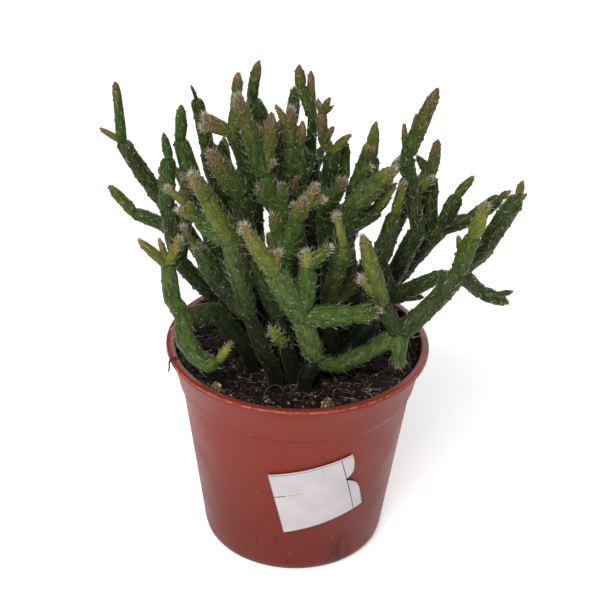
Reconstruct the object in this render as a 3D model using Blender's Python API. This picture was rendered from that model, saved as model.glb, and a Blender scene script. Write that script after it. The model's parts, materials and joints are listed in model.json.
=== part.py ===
# A potted dancing bones cactus: a turned plastic nursery pot filled with soil,
# a bare paper label on its wall, and a clump of jointed stems that stand in the soil.
# Blender 4.5, metres, +Z up. The origin is the middle of the pot's flat base,
# and -Y is the side that the label and the leaning front stems face.

import math
import random

import bmesh
import bpy
import numpy as np
from mathutils import Matrix, Vector

MM = 0.001

# Pot, in mm
POT_HEIGHT = 54.5
RIM_RADIUS = 32.5
LIP_THICKNESS = 1.2
LIP_OVERHANG = 1.3
WALL = 0.9
FLOOR = 1.2
BAND_BOTTOM = 44.5
BAND_BOTTOM_RADIUS = 29.4
STEP_BOTTOM = 42.6
BODY_TOP_RADIUS = 28.5
BODY_BOTTOM = 2.5
BODY_BOTTOM_RADIUS = 23.0
BASE_RADIUS = 22.1
POT_SIDES = 44
DRAIN_HOLES = 6
DRAIN_RADIUS = 2.6
DRAIN_SIDES = 12
DRAIN_CIRCLE = 15.0

# Soil, in mm
SOIL_TOP = 49.8
SOIL_RELIEF = 0.45
SOIL_GAP = 0.3
ROOT_DEPTH = 6.5
ROOT_RADIUS = 1.9
HOLE_GAP = 0.35
HOLE_SIDES = 8
SOIL_SIDES = 32
COLLAR = 2.3

# Label, in mm, on the pot's tapering wall
LABEL_MIDDLE_ARC = 6.0
LABEL_MIDDLE_HEIGHT = 25.7
LABEL_TILT = 13.3
LABEL_THICKNESS = 0.25
LABEL_GAP = 0.3
LABEL_STRIPS = 12
LABEL_OUTLINE = [
    (-10.8, -9.7),
    (11.06, -8.97),
    (10.85, -3.4),
    (10.4, -1.3),
    (9.3, 1.0),
    (7.17, 2.39),
    (8.9, 3.15),
    (10.0, 5.1),
    (10.3, 7.3),
    (10.07, 9.7),
    (-10.2, 9.3),
]

# Shoots: girth at the joints and shape of the tips as shares of a shoot's radius,
# how far a side shoot starts inside its parent, the fullest stretch as shares of
# the length, and the number of sides from each girth in mm upwards
NECK = 0.68
TIP_START = 0.75
TIP_LENGTH = 0.96
TIP_GIRTH = 0.78
SUNK_START = 0.3
FULL_FROM = 0.30
FULL_TO = 0.74
FULL_TO_GIRTH = 0.95
FOLLOW_ON_COSINE = 0.45
SIDES_BY_GIRTH = [(3.3, 7), (1.9, 6), (0.0, 5)]

# Room left between two stems and between two shoots of one stem, in mm, and how the
# joints are eased: rounds, rounds that also pull them home, that pull, and the shares
# of a push that go across and along the sight line
STEM_GAP = 0.42
SHOOT_GAP = 0.1
EASING_ROUNDS = 420
HOLDING_ROUNDS = 260
HOME_PULL = 0.012
PUSH_ACROSS = 0.35
PUSH_ALONG = 1.6

# The shoots' places were taken from in front of the pot, looking down at it
# from this distance and height in mm. "Across" and "up" are where a point is
# seen against the upright plane through the pot's axis, and "back" is how far
# it lies behind that plane.
VIEW_DISTANCE = 346.3
VIEW_HEIGHT = 266.0
VIEW_ACROSS = 0.3

# Each stem has its foot on the soil (x, y) and its shoots, in mm:
# name, what it grows from, across, up, back, girth.
# A pair for what it grows from gives the share of the way along that shoot.
STEMS = {
    "stem_front": ((2, -15), [
        ("knee", "foot", 4.4, 48.8, -13, 4.2),
        ("trunk", "knee", 0.7, 60.8, -17, 5.2),
        ("crown", "trunk", -6.2, 73.5, -24, 5.6),
        ("crown_tip", "crown", -13.8, 85.8, -28, 4.0),
        ("crown_bud", "crown", -5.2, 79.0, -25, 2.2),
        ("upright", "trunk", 1.9, 75.0, -20, 4.5),
        ("upright_tip", "upright", 1.3, 79.3, -20, 2.8),
        ("upright_side", "upright", 7.6, 80.9, -18, 3.2),
        ("arm", "trunk", 13.3, 62.0, -20, 5.1),
        ("arm_knob", "arm", 20.3, 63.5, -19, 4.8),
        ("reach", "knee", 10.0, 47.0, -12, 4.2),
        ("reach_mid", "reach", 18.7, 52.3, -12, 4.4),
        ("reach_end", "reach_mid", 24.6, 56.6, -12, 4.4),
        ("hang", "reach_end", 25.3, 51.6, -15, 4.5),
        ("hang_tip", "hang", 25.4, 45.5, -15, 3.6),
        ("prop", "reach_end", 20.4, 65.0, -15, 4.1),
        ("prop_tip", "prop", 14.7, 84.0, -20, 4.0),
        ("prop_bud", "prop", 14.9, 72.3, -18, 2.6),
        ("sweep", "reach_end", 32.5, 65.4, -8, 4.8),
        ("sweep_end", "sweep", 38.5, 74.8, -6, 4.8),
        ("sweep_up", "sweep_end", 41.3, 84.7, -8, 4.3),
        ("sweep_top", "sweep_up", 43.5, 93.6, -9, 3.6),
        ("out", "sweep_end", 44.5, 69.1, -3, 3.7),
        ("out_tip", "out", 51.3, 66.5, -3, 3.7),
        ("out_bud", ("out_tip", 0.3), 52.0, 69.8, -4, 1.7),
        ("short", "sweep_end", 46.2, 81.5, 5, 3.7),
        ("far", "sweep_end", 44.5, 82.3, 0, 4.3),
        ("far_top", "far", 51.0, 95.8, 2, 4.5),
        ("far_bud", "far_top", 51.6, 99.7, 2, 2.1),
        ("far_bud_low", ("far_top", 0.8), 52.9, 96.3, 0, 1.7),
        ("sweep_side", ("sweep_up", 0.35), 37.4, 84.6, -5, 2.2),
    ]),
    "stem_left": ((-5, -14), [
        ("base", "foot", -11.5, 61.0, -12, 3.9),
        ("pole", "base", -16.5, 82.0, -16, 4.6),
        ("pole_top", "pole", -22.7, 93.2, -20, 3.8),
        ("pole_tip", "pole_top", -26.0, 99.0, -24, 3.7),
        ("side", "base", -20.0, 70.0, -9, 4.6),
        ("side_tip", "side", -25.0, 80.5, -8, 4.6),
        ("side_bud", ("side_tip", 0.8), -28.0, 85.0, -8, 1.7),
        ("branch", "pole", -25.0, 87.3, -12, 4.4),
        ("branch_top", "branch", -27.4, 91.4, -11, 3.1),
        ("branch_tip", "branch_top", -31.7, 95.2, -11, 2.1),
        ("branch_bud", "branch", -29.1, 89.4, -13, 1.9),
        ("inner", "base", -19.2, 77.5, -6, 4.6),
        ("inner_top", "inner", -24.0, 88.5, -6, 4.2),
    ]),
    "stem_left_middle": ((-1, -11), [
        ("base", "foot", -5.5, 62.0, -9, 3.8),
        ("bud_low", ("base", 0.45), -7.2, 57.0, -13, 3.1),
        ("bud_high", ("base", 0.9), -3.6, 65.5, -12, 2.1),
        ("left", "base", -12.3, 75.5, -13, 4.0),
        ("rise", "base", -3.5, 78.0, -10, 4.4),
        ("rise_left", "rise", -7.2, 89.0, -12, 4.0),
        ("rise_up", "rise", -0.8, 87.5, -12, 4.6),
        ("up_bud", "rise_up", -1.7, 92.1, -12, 2.6),
        ("up_bud_front", "rise_up", 0.4, 93.4, -14, 2.6),
        ("up_tip", "rise_up", 3.4, 97.1, -12, 3.1),
        ("up_side", ("up_tip", 0.4), 5.4, 93.4, -11, 1.9),
    ]),
    "stem_low_left": ((-11, -8), [
        ("base", "foot", -12.7, 51.5, -8, 4.0),
        ("lean", "base", -20.0, 62.0, -8, 4.6),
        ("out", "lean", -28.0, 59.8, -14, 4.6),
        ("out_up", "out", -31.0, 64.7, -13, 4.1),
        ("out_top", "out_up", -32.1, 74.5, -12, 4.1),
        ("fan_left", "out_top", -38.9, 81.3, -12, 2.6),
        ("fan_middle", "out_top", -33.9, 81.6, -12, 1.7),
        ("fan_right", "out_top", -28.7, 82.1, -12, 2.7),
        ("droop", "out", -28.0, 53.4, -16, 4.6),
        ("droop_low", "droop", -25.2, 48.7, -17, 4.6),
        ("droop_turn", "droop_low", -21.9, 46.3, -18, 4.4),
        ("droop_end", "droop_turn", -19.6, 47.6, -18, 4.1),
        ("droop_tip", "droop_end", -16.6, 53.0, -17, 2.3),
    ]),
    "stem_far_left": ((-9, -1), [
        ("base", "foot", -20.0, 66.0, -4, 4.0),
        ("lean", "base", -29.3, 76.0, -3, 4.1),
        ("rise", "lean", -31.8, 90.0, 0, 4.0),
        ("rise_top", "rise", -30.9, 103.2, 0, 3.9),
        ("tip", "rise_top", -32.3, 109.3, 0, 2.3),
        ("stub", ("rise_top", 0.5), -33.6, 100.3, -2, 2.0),
        ("inner", "lean", -27.2, 91.0, 3, 4.0),
        ("inner_top", "inner", -27.6, 97.5, 3, 3.6),
    ]),
    "stem_far_left_back": ((-7, 5), [
        ("base", "foot", -18.0, 70.0, 4, 4.0),
        ("lean", "base", -25.0, 80.0, 4, 4.4),
        ("rise", "lean", -33.0, 92.0, 4, 4.1),
        ("rise_top", "rise", -42.0, 106.8, 3, 3.9),
        ("tip", "rise_top", -43.1, 121.7, 2, 2.5),
        ("tip_bud", "rise_top", -47.1, 110.0, 3, 1.7),
        ("low", "lean", -33.1, 85.6, 6, 3.6),
        ("low_out", "low", -39.8, 88.5, 6, 3.4),
        ("low_tip", "low_out", -45.5, 95.4, 6, 2.9),
        ("low_bud", "low", -36.6, 88.2, 8, 2.0),
    ]),
    "stem_upper_left": ((-3, 1), [
        ("base", "foot", -8.0, 68.0, 0, 4.0),
        ("rise", "base", -13.0, 82.0, -2, 4.6),
        ("left", "rise", -18.6, 88.0, 0, 3.8),
        ("left_up", "left", -25.6, 97.5, 1, 4.0),
        ("left_top", "left_up", -28.6, 107.6, 2, 4.0),
        ("left_tip", "left_top", -28.1, 116.5, 2, 2.9),
        ("brown", "rise", -14.3, 94.0, -5, 4.8),
        ("brown_tip", "brown", -22.0, 104.8, -6, 5.3),
        ("brown_side", "brown", -17.5, 101.0, 0, 3.8),
    ]),
    "stem_upper_left_back": ((-2, 8), [
        ("base", "foot", -10.0, 75.0, 8, 4.0),
        ("left", "base", -16.0, 88.0, 7, 4.4),
        ("left_up", "left", -20.5, 98.0, 6, 4.2),
        ("left_bend", "left_up", -22.2, 105.0, 6, 3.9),
        ("left_tip", "left_bend", -24.7, 118.1, 6, 3.4),
        ("dry_thread", "left_tip", -25.9, 121.4, 6, 0.9),
        ("left_side", "left", -19.0, 107.8, 8, 4.0),
        ("mid", "base", -11.0, 95.0, 5, 4.4),
        ("mid_side", "mid", -14.8, 102.0, 4, 3.2),
        ("mid_top", "mid", -16.3, 109.7, 0, 3.6),
        ("fork_left", "mid_top", -22.9, 114.2, -1, 2.7),
        ("fork_low", "mid_top", -23.4, 111.2, -3, 2.7),
        ("fork_up", "mid_top", -15.4, 119.5, 0, 3.1),
        ("fork_tip", "fork_up", -15.1, 124.8, 0, 2.8),
    ]),
    "stem_centre": ((3, -6), [
        ("base", "foot", 0.0, 66.0, -5, 4.2),
        ("rise", "base", -4.0, 84.0, -6, 4.6),
        ("bright", "rise", -9.1, 99.2, -5, 4.1),
        ("bright_top", "bright", -15.3, 119.3, -4, 4.1),
        ("bud", "bright", -6.7, 102.8, -6, 2.2),
        ("red_tip", "bright", -7.4, 115.3, -1, 3.8),
        ("red_horn", ("red_tip", 0.55), -10.4, 111.5, -3, 1.7),
        ("low_tip", "rise", -4.9, 97.2, -6, 3.7),
        ("low_side", ("bright", 0.35), -10.5, 96.0, -9, 3.1),
        ("inner", "base", -8.0, 84.0, 0, 4.2),
    ]),
    "stem_centre_back": ((3, 3), [
        ("base", "foot", 1.0, 72.0, 3, 4.2),
        ("rise", "base", -1.5, 88.0, 2, 4.6),
        ("neck", "rise", -1.0, 97.0, 1, 4.6),
        ("top", "neck", -0.6, 107.2, 1, 4.3),
        ("top_tip", "top", -0.3, 113.3, 1, 2.0),
        ("slim", "neck", -3.2, 106.7, 2, 3.3),
        ("slim_tip", "slim", -3.0, 116.5, 2, 3.3),
        ("slim_horn", ("slim_tip", 0.4), -6.6, 117.0, 2, 1.9),
        ("bud", ("neck", 0.6), -1.5, 99.0, -3, 1.7),
        ("right", "neck", 3.3, 104.8, 5, 3.4),
        ("wide", "rise", -4.8, 103.5, 5, 4.2),
        ("wide_top", "wide", -5.0, 114.0, 5, 4.0),
    ]),
    "stem_back": ((4, 10), [
        ("base", "foot", 4.0, 78.0, 9, 4.0),
        ("rise", "base", 3.0, 93.0, 8, 4.4),
        ("top", "rise", 2.0, 105.0, 7, 3.8),
        ("tip", "top", 2.0, 114.5, 6, 2.4),
        ("twin", "tip", -0.8, 121.7, 6, 2.9),
        ("twin_tip", "twin", -1.4, 127.1, 6, 2.7),
        ("twin_right", "tip", 1.3, 125.7, 8, 2.2),
        ("left", "top", -3.0, 112.0, 9, 3.3),
        ("left_tip", "left", -2.3, 121.6, 9, 3.3),
        ("sweep", "base", -2.0, 92.0, 9, 4.4),
        ("sweep_up", "sweep", -8.0, 105.0, 8, 4.1),
        ("sweep_bend", "sweep_up", -9.2, 111.7, 8, 4.1),
        ("sweep_top", "sweep_bend", -12.0, 118.5, 8, 4.1),
        ("sweep_tip", "sweep_top", -10.5, 127.7, 8, 2.8),
    ]),
    "stem_right_centre": ((8, 2), [
        ("base", "foot", 7.0, 74.0, 3, 4.2),
        ("rise", "base", 5.5, 90.0, 3, 4.6),
        ("neck", "rise", 6.5, 97.0, 4, 4.1),
        ("top", "neck", 6.3, 105.5, 4, 3.8),
        ("tip_low", "top", 4.7, 108.2, 3, 2.5),
        ("tip", "tip_low", 4.1, 115.5, 1, 2.5),
        ("tip_bud", "tip", 5.8, 119.3, 1, 1.8),
        ("tip_bud_left", "tip", 3.0, 118.9, 3, 1.7),
        ("tip_bud_right", "tip", 6.7, 117.1, 2, 1.9),
        ("tip_side", ("tip_low", 0.9), 6.9, 112.1, 0, 1.7),
        ("right", "rise", 9.9, 99.0, 8, 3.6),
        ("right_tip", "right", 9.9, 108.5, 8, 2.8),
        ("top_side", "top", 11.0, 110.3, 3, 2.2),
        ("front", "rise", 9.7, 98.7, -5, 4.0),
    ]),
    "stem_right_front": ((9, -7), [
        ("base", "foot", 7.0, 64.5, -8, 4.0),
        ("stub", "foot", 5.5, 60.0, -11, 3.8),
        ("side", "base", 14.5, 73.0, -6, 4.6),
        ("front", "base", 9.4, 75.3, -13, 4.0),
        ("front_tip", "front", 10.2, 81.1, -16, 4.0),
        ("front_bud", "front_tip", 8.3, 89.2, -17, 2.1),
        ("low", "foot", 18.5, 60.2, -4, 4.6),
        ("low_up", "low", 16.5, 69.5, -4, 3.8),
    ]),
    "stem_right": ((12, -2), [
        ("base", "foot", 14.0, 58.0, -1, 4.2),
        ("lean", "base", 22.7, 67.0, 0, 4.6),
        ("out", "lean", 36.5, 74.8, -2, 4.3),
        ("out_low", "lean", 30.5, 67.5, 2, 2.1),
        ("back_up", "lean", 19.5, 77.0, 0, 3.7),
        ("back_top", "back_up", 21.5, 90.7, 2, 4.2),
        ("back_tip", "back_top", 23.8, 98.4, 2, 2.4),
        ("rise", "base", 12.0, 74.0, -1, 4.6),
        ("rise_top", "rise", 10.0, 84.0, -3, 4.6),
        ("thick", "rise_top", 12.0, 92.2, -4, 4.9),
        ("thick_up", "thick", 18.0, 98.6, -4, 4.9),
        ("thick_tip", "thick_up", 21.5, 102.0, -6, 3.6),
        ("slim", "rise_top", 21.0, 94.5, 0, 3.2),
        ("slim_bud", ("slim", 0.7), 22.0, 98.1, -2, 2.6),
        ("bud", "rise_top", 19.7, 89.6, 2, 2.2),
        ("inner", "base", 15.8, 79.0, 3, 4.2),
    ]),
    "stem_right_back": ((12.5, 5.5), [
        ("base", "foot", 21.0, 69.0, 7, 4.2),
        ("rise", "base", 28.0, 86.0, 4, 4.6),
        ("rise_bud", "rise", 27.5, 91.0, 3, 2.1),
        ("slim", "rise", 24.3, 105.3, 8, 3.7),
        ("slim_bud", ("slim", 0.6), 22.0, 104.0, 7, 1.9),
        ("slim_tip", "slim", 23.0, 113.4, 8, 1.7),
        ("slim_top", "slim", 30.3, 122.4, 8, 3.8),
        ("slim_thin", "slim", 25.8, 115.9, 8, 1.7),
        ("out", "base", 27.3, 78.0, 9, 4.2),
        ("out_up", "out", 33.6, 86.6, 8, 4.2),
        ("out_right", "out_up", 40.0, 89.1, 7, 3.9),
        ("out_tip", "out_right", 47.0, 95.2, 8, 3.5),
        ("out_bud", "out_tip", 49.0, 96.9, 8, 2.0),
        ("heavy", ("out_up", 0.5), 29.5, 100.0, 9, 4.6),
        ("heavy_tip", "heavy", 31.1, 109.5, 8, 3.0),
        ("heavy_side", "heavy", 26.4, 105.3, 12, 2.5),
        ("upper", "out_up", 36.7, 95.5, 8, 4.0),
        ("upper_tip", "upper", 40.1, 100.5, 8, 2.4),
    ]),
    "stem_right_centre_back": ((9, 11.5), [
        ("base", "foot", 11.0, 80.0, 10, 4.0),
        ("rise", "base", 12.1, 97.0, 9, 4.0),
        ("top", "rise", 15.4, 108.0, 9, 3.2),
        ("tip", "top", 16.7, 113.7, 9, 2.1),
        ("side", ("top", 0.3), 15.9, 102.2, 6, 1.8),
    ]),
}

# Stems of the far side, forked by rule: foot on the soil (x, y) in mm,
# heading in degrees from +X, and the seed of its draw
REAR_STEMS = {
    "stem_rear_left": ((-9, 12), 138, 46),
    "stem_rear_middle": ((0, 16), 92, 71),
    "stem_rear_right": ((8.5, 17.5), 78, 160),
    "stem_rear_far_right": ((14.5, 13), 26, 43),
}
# Length and girth in mm, rise in degrees and spread in degrees of each storey of forks
REAR_STOREYS = [
    {"length": 18.0, "girth": 4.1, "rise": 70, "spread": 0, "forks": 1},
    {"length": 14.0, "girth": 3.9, "rise": 60, "spread": 38, "forks": 2},
    {"length": 10.5, "girth": 3.4, "rise": 58, "spread": 34, "forks": 2},
    {"length": 7.5, "girth": 2.5, "rise": 64, "spread": 30, "forks": 1},
]


def seen_at(across, up, back):
    """Point in mm that is seen at (across, up) and lies `back` behind the axis plane."""
    reach = 1 + back / VIEW_DISTANCE
    x = VIEW_ACROSS + (across - VIEW_ACROSS) * reach
    z = VIEW_HEIGHT - (VIEW_HEIGHT - up) * reach
    return np.array((x, float(back), z))


class Clump:
    """The joints (points) and shoots (start, end, girth) of every stem, in mm."""

    def __init__(self):
        self.points = []
        self.fixed = []
        self.stems = []
        self.names = []
        self.parents = []
        self.shares = []
        self.starts = []
        self.ends = []
        self.girths = []

    def add_point(self, place, fixed=False):
        self.points.append(np.array(place, dtype=float))
        self.fixed.append(fixed)
        return len(self.points) - 1

    def add_shoot(self, stem, name, parent, share, start, end, girth):
        """`start` is a pair of points that the shoot's start lies between, at `share`."""
        self.stems.append(stem)
        self.names.append(name)
        self.parents.append(parent)
        self.shares.append(share)
        self.starts.append(start)
        self.ends.append(end)
        self.girths.append(girth)
        return len(self.names) - 1


def plant_front_stems(clump):
    for stem, (foot, rows) in STEMS.items():
        foot_point = clump.add_point((foot[0], foot[1], SOIL_TOP + COLLAR), fixed=True)
        known = {}
        for name, source, across, up, back, girth in rows:
            parent, share = source if isinstance(source, tuple) else (source, 1.0)
            if parent == "foot":
                index, start = -1, (foot_point, foot_point)
            else:
                index = known[parent]
                start = (clump.starts[index][1], clump.ends[index])
            end = clump.add_point(seen_at(across, up, back))
            known[name] = clump.add_shoot(stem, name, index, share, start, end, girth)


def plant_rear_stems(clump):
    for stem, (foot, heading, seed) in REAR_STEMS.items():
        draw = random.Random(seed)
        foot_point = clump.add_point((foot[0], foot[1], SOIL_TOP + COLLAR), fixed=True)
        storey = [(-1, foot_point, heading)]
        for level, rule in enumerate(REAR_STOREYS):
            grown = []
            for parent, start, aim in storey:
                forks = rule["forks"]
                if forks == 1 and level == len(REAR_STOREYS) - 1 and draw.random() < 0.4:
                    forks = 2
                for fork in range(forks):
                    side = 0 if forks == 1 else 2 * fork - 1
                    turn = aim + side * rule["spread"] + draw.uniform(-10, 10)
                    rise = math.radians(rule["rise"] + draw.uniform(-12, 12))
                    length = rule["length"] * draw.uniform(0.85, 1.15)
                    step = np.array((
                        math.cos(rise) * math.cos(math.radians(turn)),
                        math.cos(rise) * math.sin(math.radians(turn)),
                        math.sin(rise),
                    ))
                    end = clump.add_point(clump.points[start] + step * length)
                    girth = rule["girth"] * draw.uniform(0.88, 1.08)
                    name = f"storey_{level}_{len(grown)}"
                    shoot = clump.add_shoot(stem, name, parent, 1.0, (start, start), end, girth)
                    grown.append((shoot, end, turn))
            storey = grown


def closest_shares(p, u, q, v):
    """For many pairs of shoots p + s*u and q + t*v, the shares s and t where they come closest."""
    w = p - q
    uu = np.maximum((u * u).sum(1), 1e-9)
    vv = np.maximum((v * v).sum(1), 1e-9)
    uv = (u * v).sum(1)
    uw = (u * w).sum(1)
    vw = (v * w).sum(1)
    denominator = np.maximum(uu * vv - uv * uv, 1e-9)
    s = np.clip((uv * vw - vv * uw) / denominator, 0, 1)
    t = np.clip((uv * s + vw) / vv, 0, 1)
    s = np.clip((uv * t - uw) / uu, 0, 1)
    return s, t


def related(clump, a, b):
    """True where shoots a and b of one stem meet, or have only one shoot between them."""
    def line(shoot):
        found = []
        while shoot >= 0 and len(found) < 3:
            found.append(shoot)
            shoot = clump.parents[shoot]
        return found
    up_a, up_b = line(a), line(b)
    if clump.parents[a] == clump.parents[b]:
        return True
    for steps_a, shoot in enumerate(up_a):
        if shoot in up_b and steps_a + up_b.index(shoot) <= 3:
            return True
    return False


def ease_apart(clump):
    """Shift the joints until no two shoots touch, mostly along the sight lines."""
    place = np.array(clump.points)
    home = place.copy()
    loose = ~np.array(clump.fixed)
    first = np.array([pair[0] for pair in clump.starts])
    second = np.array([pair[1] for pair in clump.starts])
    share = np.array(clump.shares)[:, None]
    ends = np.array(clump.ends)
    radius = np.array(clump.girths) / 2
    stem = np.array([list(dict.fromkeys(clump.stems)).index(name) for name in clump.stems])

    pairs = [
        (a, b)
        for a in range(len(ends)) for b in range(a + 1, len(ends))
        if stem[a] != stem[b] or not related(clump, a, b)
    ]
    a, b = np.array(pairs).T
    room = np.where(stem[a] != stem[b], STEM_GAP, SHOOT_GAP)
    need = radius[a] + radius[b] + room

    eye = np.array((VIEW_ACROSS, -VIEW_DISTANCE, VIEW_HEIGHT))
    sight = home - eye
    sight /= np.linalg.norm(sight, axis=1)[:, None]

    for step in range(EASING_ROUNDS):
        start = place[first] * (1 - share) + place[second] * share
        reach = place[ends] - start
        s, t = closest_shares(start[a], reach[a], start[b], reach[b])
        between = (start[a] + reach[a] * s[:, None]) - (start[b] + reach[b] * t[:, None])
        apart = np.linalg.norm(between, axis=1)
        tight = apart < need + 0.02
        if not tight.any():
            break
        ta, tb, ts, tt = a[tight], b[tight], s[tight], t[tight]
        away = between[tight] / np.maximum(apart[tight], 1e-6)[:, None]
        push = (need + 0.06 - apart)[tight] * 0.5
        shift = np.zeros_like(place)
        count = np.zeros(len(place))
        for shoots, along, sign in ((ta, ts, 1.0), (tb, tt, -1.0)):
            for joint, weight in (
                (ends[shoots], along),
                (second[shoots], (1 - along) * share[shoots, 0]),
                (first[shoots], (1 - along) * (1 - share[shoots, 0])),
            ):
                move = away * (sign * push * weight)[:, None]
                line = sight[joint]
                deep = (move * line).sum(1)[:, None] * line
                move = PUSH_ACROSS * (move - deep) + PUSH_ALONG * deep
                np.add.at(shift, joint, move)
                np.add.at(count, joint, weight > 0.15)
        shift /= np.maximum(1.0, 0.6 * count)[:, None]
        place[loose] += shift[loose]
        if step < HOLDING_ROUNDS:
            drift = home - place
            place[loose] += HOME_PULL * drift[loose]
        keep_off_the_soil(place, ends, radius)

    clump.points = list(place)


def keep_off_the_soil(place, ends, radius):
    """Lift joints that would dip into the soil, or into the rim near the wall."""
    low = SOIL_TOP + SOIL_RELIEF + 1.0 + radius
    out = np.hypot(place[ends, 0], place[ends, 1])
    over_rim = out > RIM_RADIUS - 5.5 - radius
    low = np.where(over_rim, POT_HEIGHT + 0.6 + radius, low)
    place[ends, 2] = np.maximum(place[ends, 2], low)


def grow_clump():
    clump = Clump()
    plant_front_stems(clump)
    plant_rear_stems(clump)
    ease_apart(clump)
    return clump


def make_material(name, colour, roughness, metallic=0.0):
    material = bpy.data.materials.new(name)
    material.use_nodes = True
    shader = material.node_tree.nodes["Principled BSDF"]
    shader.inputs["Base Color"].default_value = (*colour, 1.0)
    shader.inputs["Roughness"].default_value = roughness
    shader.inputs["Metallic"].default_value = metallic
    material.diffuse_color = (*colour, 1.0)
    return material


def add_object(name, mesh, material=None):
    item = bpy.data.objects.new(name, mesh)
    bpy.context.scene.collection.objects.link(item)
    if material:
        mesh.materials.clear()
        mesh.materials.append(material)
    return item


def turned_mesh(name, profile, sides):
    """Closed body turned about Z from (radius, height) points in mm that start and end on Z."""
    shape = bmesh.new()
    line = [shape.verts.new((radius * MM, 0, height * MM)) for radius, height in profile]
    edges = [shape.edges.new(pair) for pair in zip(line, line[1:])]
    bmesh.ops.spin(shape, geom=line + edges, cent=(0, 0, 0), axis=(0, 0, 1),
                   angle=math.tau, steps=sides, use_merge=True)
    bmesh.ops.remove_doubles(shape, verts=shape.verts, dist=1e-6)
    bmesh.ops.recalc_face_normals(shape, faces=shape.faces)
    mesh = bpy.data.meshes.new(name)
    shape.to_mesh(mesh)
    shape.free()
    return mesh


def evaluated(item):
    """The item's mesh with its modifiers applied, as a new mesh."""
    bpy.context.view_layer.update()
    graph = bpy.context.evaluated_depsgraph_get()
    return bpy.data.meshes.new_from_object(item.evaluated_get(graph), depsgraph=graph)


def combine(name, meshes, material, operation="UNION", body=None):
    """Join closed meshes into one body, or cut them all from `body`."""
    group = bpy.data.collections.new(name + "_pieces")
    bpy.context.scene.collection.children.link(group)
    pieces = list(meshes)
    if body is None:
        body = add_object(name + "_first", pieces.pop(0))
    helpers = []
    for number, mesh in enumerate(pieces):
        helper = bpy.data.objects.new(f"{name}_piece_{number}", mesh)
        group.objects.link(helper)
        helpers.append(helper)
    if helpers:
        cut = body.modifiers.new("combine", "BOOLEAN")
        cut.operation = operation
        cut.operand_type = "COLLECTION"
        cut.collection = group
        cut.solver = "EXACT"
    mesh = evaluated(body)
    for helper in helpers:
        bpy.data.objects.remove(helper)
    bpy.data.collections.remove(group)
    bpy.data.objects.remove(body)
    mesh.name = name
    return add_object(name, mesh, material)


def smooth(item, angle=35):
    item.data.shade_smooth()
    item.data.set_sharp_from_angle(angle=math.radians(angle))


def wall_radius(height):
    """Outer radius of the pot's tapering body at a height, in mm."""
    slope = (BODY_TOP_RADIUS - BODY_BOTTOM_RADIUS) / (STEP_BOTTOM - BODY_BOTTOM)
    return BODY_BOTTOM_RADIUS + slope * (height - BODY_BOTTOM)


def pot_outside():
    """Outer half-section of the pot from the base to the rim's top."""
    band_top = RIM_RADIUS - LIP_OVERHANG
    lip_bottom = POT_HEIGHT - LIP_THICKNESS
    return [
        (BASE_RADIUS - 0.6, 0.0),
        (BASE_RADIUS, 0.25),
        (BASE_RADIUS + 0.5, 1.0),
        (BODY_BOTTOM_RADIUS, BODY_BOTTOM),
        (BODY_TOP_RADIUS, STEP_BOTTOM),
        (BAND_BOTTOM_RADIUS, BAND_BOTTOM),
        (band_top, lip_bottom - 0.3),
        (RIM_RADIUS - 0.15, lip_bottom),
        (RIM_RADIUS, lip_bottom + 0.35),
        (RIM_RADIUS, POT_HEIGHT - 0.35),
        (RIM_RADIUS - 0.35, POT_HEIGHT),
    ]


def pot_inside(gap=0.0):
    """Inner half-section of the pot from the rim down to the floor, drawn in by `gap`."""
    band_top = RIM_RADIUS - LIP_OVERHANG - WALL
    return [
        (RIM_RADIUS - LIP_OVERHANG - WALL + 0.35 - gap, POT_HEIGHT),
        (band_top - gap, POT_HEIGHT - 0.35),
        (BAND_BOTTOM_RADIUS - WALL - gap, BAND_BOTTOM),
        (BODY_TOP_RADIUS - WALL - gap, STEP_BOTTOM),
        (wall_radius(FLOOR + 1.0) - WALL - gap, FLOOR + 1.0 + gap),
        (wall_radius(FLOOR + 1.0) - WALL - 1.0 - gap, FLOOR + gap),
    ]


def make_pot():
    profile = [(0.0, 0.0)] + pot_outside() + pot_inside() + [(0.0, FLOOR)]
    body = add_object("pot_body", turned_mesh("pot_body", profile, POT_SIDES))
    drains = []
    for hole in range(DRAIN_HOLES):
        drain = turned_mesh("drain", [
            (0.0, -1.0), (DRAIN_RADIUS, -1.0), (DRAIN_RADIUS, FLOOR + 0.6), (0.0, FLOOR + 0.6),
        ], DRAIN_SIDES)
        angle = math.tau * (hole + 0.5) / DRAIN_HOLES
        offset = Vector((math.cos(angle), math.sin(angle), 0)) * DRAIN_CIRCLE * MM
        drain.transform(Matrix.Translation(offset))
        drains.append(drain)
    plastic = make_material("pot_plastic", (0.26, 0.055, 0.038), 0.38)
    pot = combine("pot", drains, plastic, "DIFFERENCE", body)
    smooth(pot)


def soil_height(x, y):
    """Level of the uneven soil at a place, in mm."""
    return SOIL_TOP + SOIL_RELIEF * (
        0.5 * math.sin(0.31 * x + 1.1) * math.cos(0.27 * y)
        + 0.3 * math.sin(0.53 * y - 0.4)
        + 0.2 * math.cos(0.61 * x - 0.45 * y)
    )


def soil_edge(height):
    """Radius of the pot's inside at a height in its upper band, less the soil's gap."""
    band_top = RIM_RADIUS - LIP_OVERHANG - WALL
    rise = (height - BAND_BOTTOM) / (POT_HEIGHT - 0.35 - BAND_BOTTOM)
    band_bottom = BAND_BOTTOM_RADIUS - WALL
    return band_bottom + (band_top - band_bottom) * rise - SOIL_GAP


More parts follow.
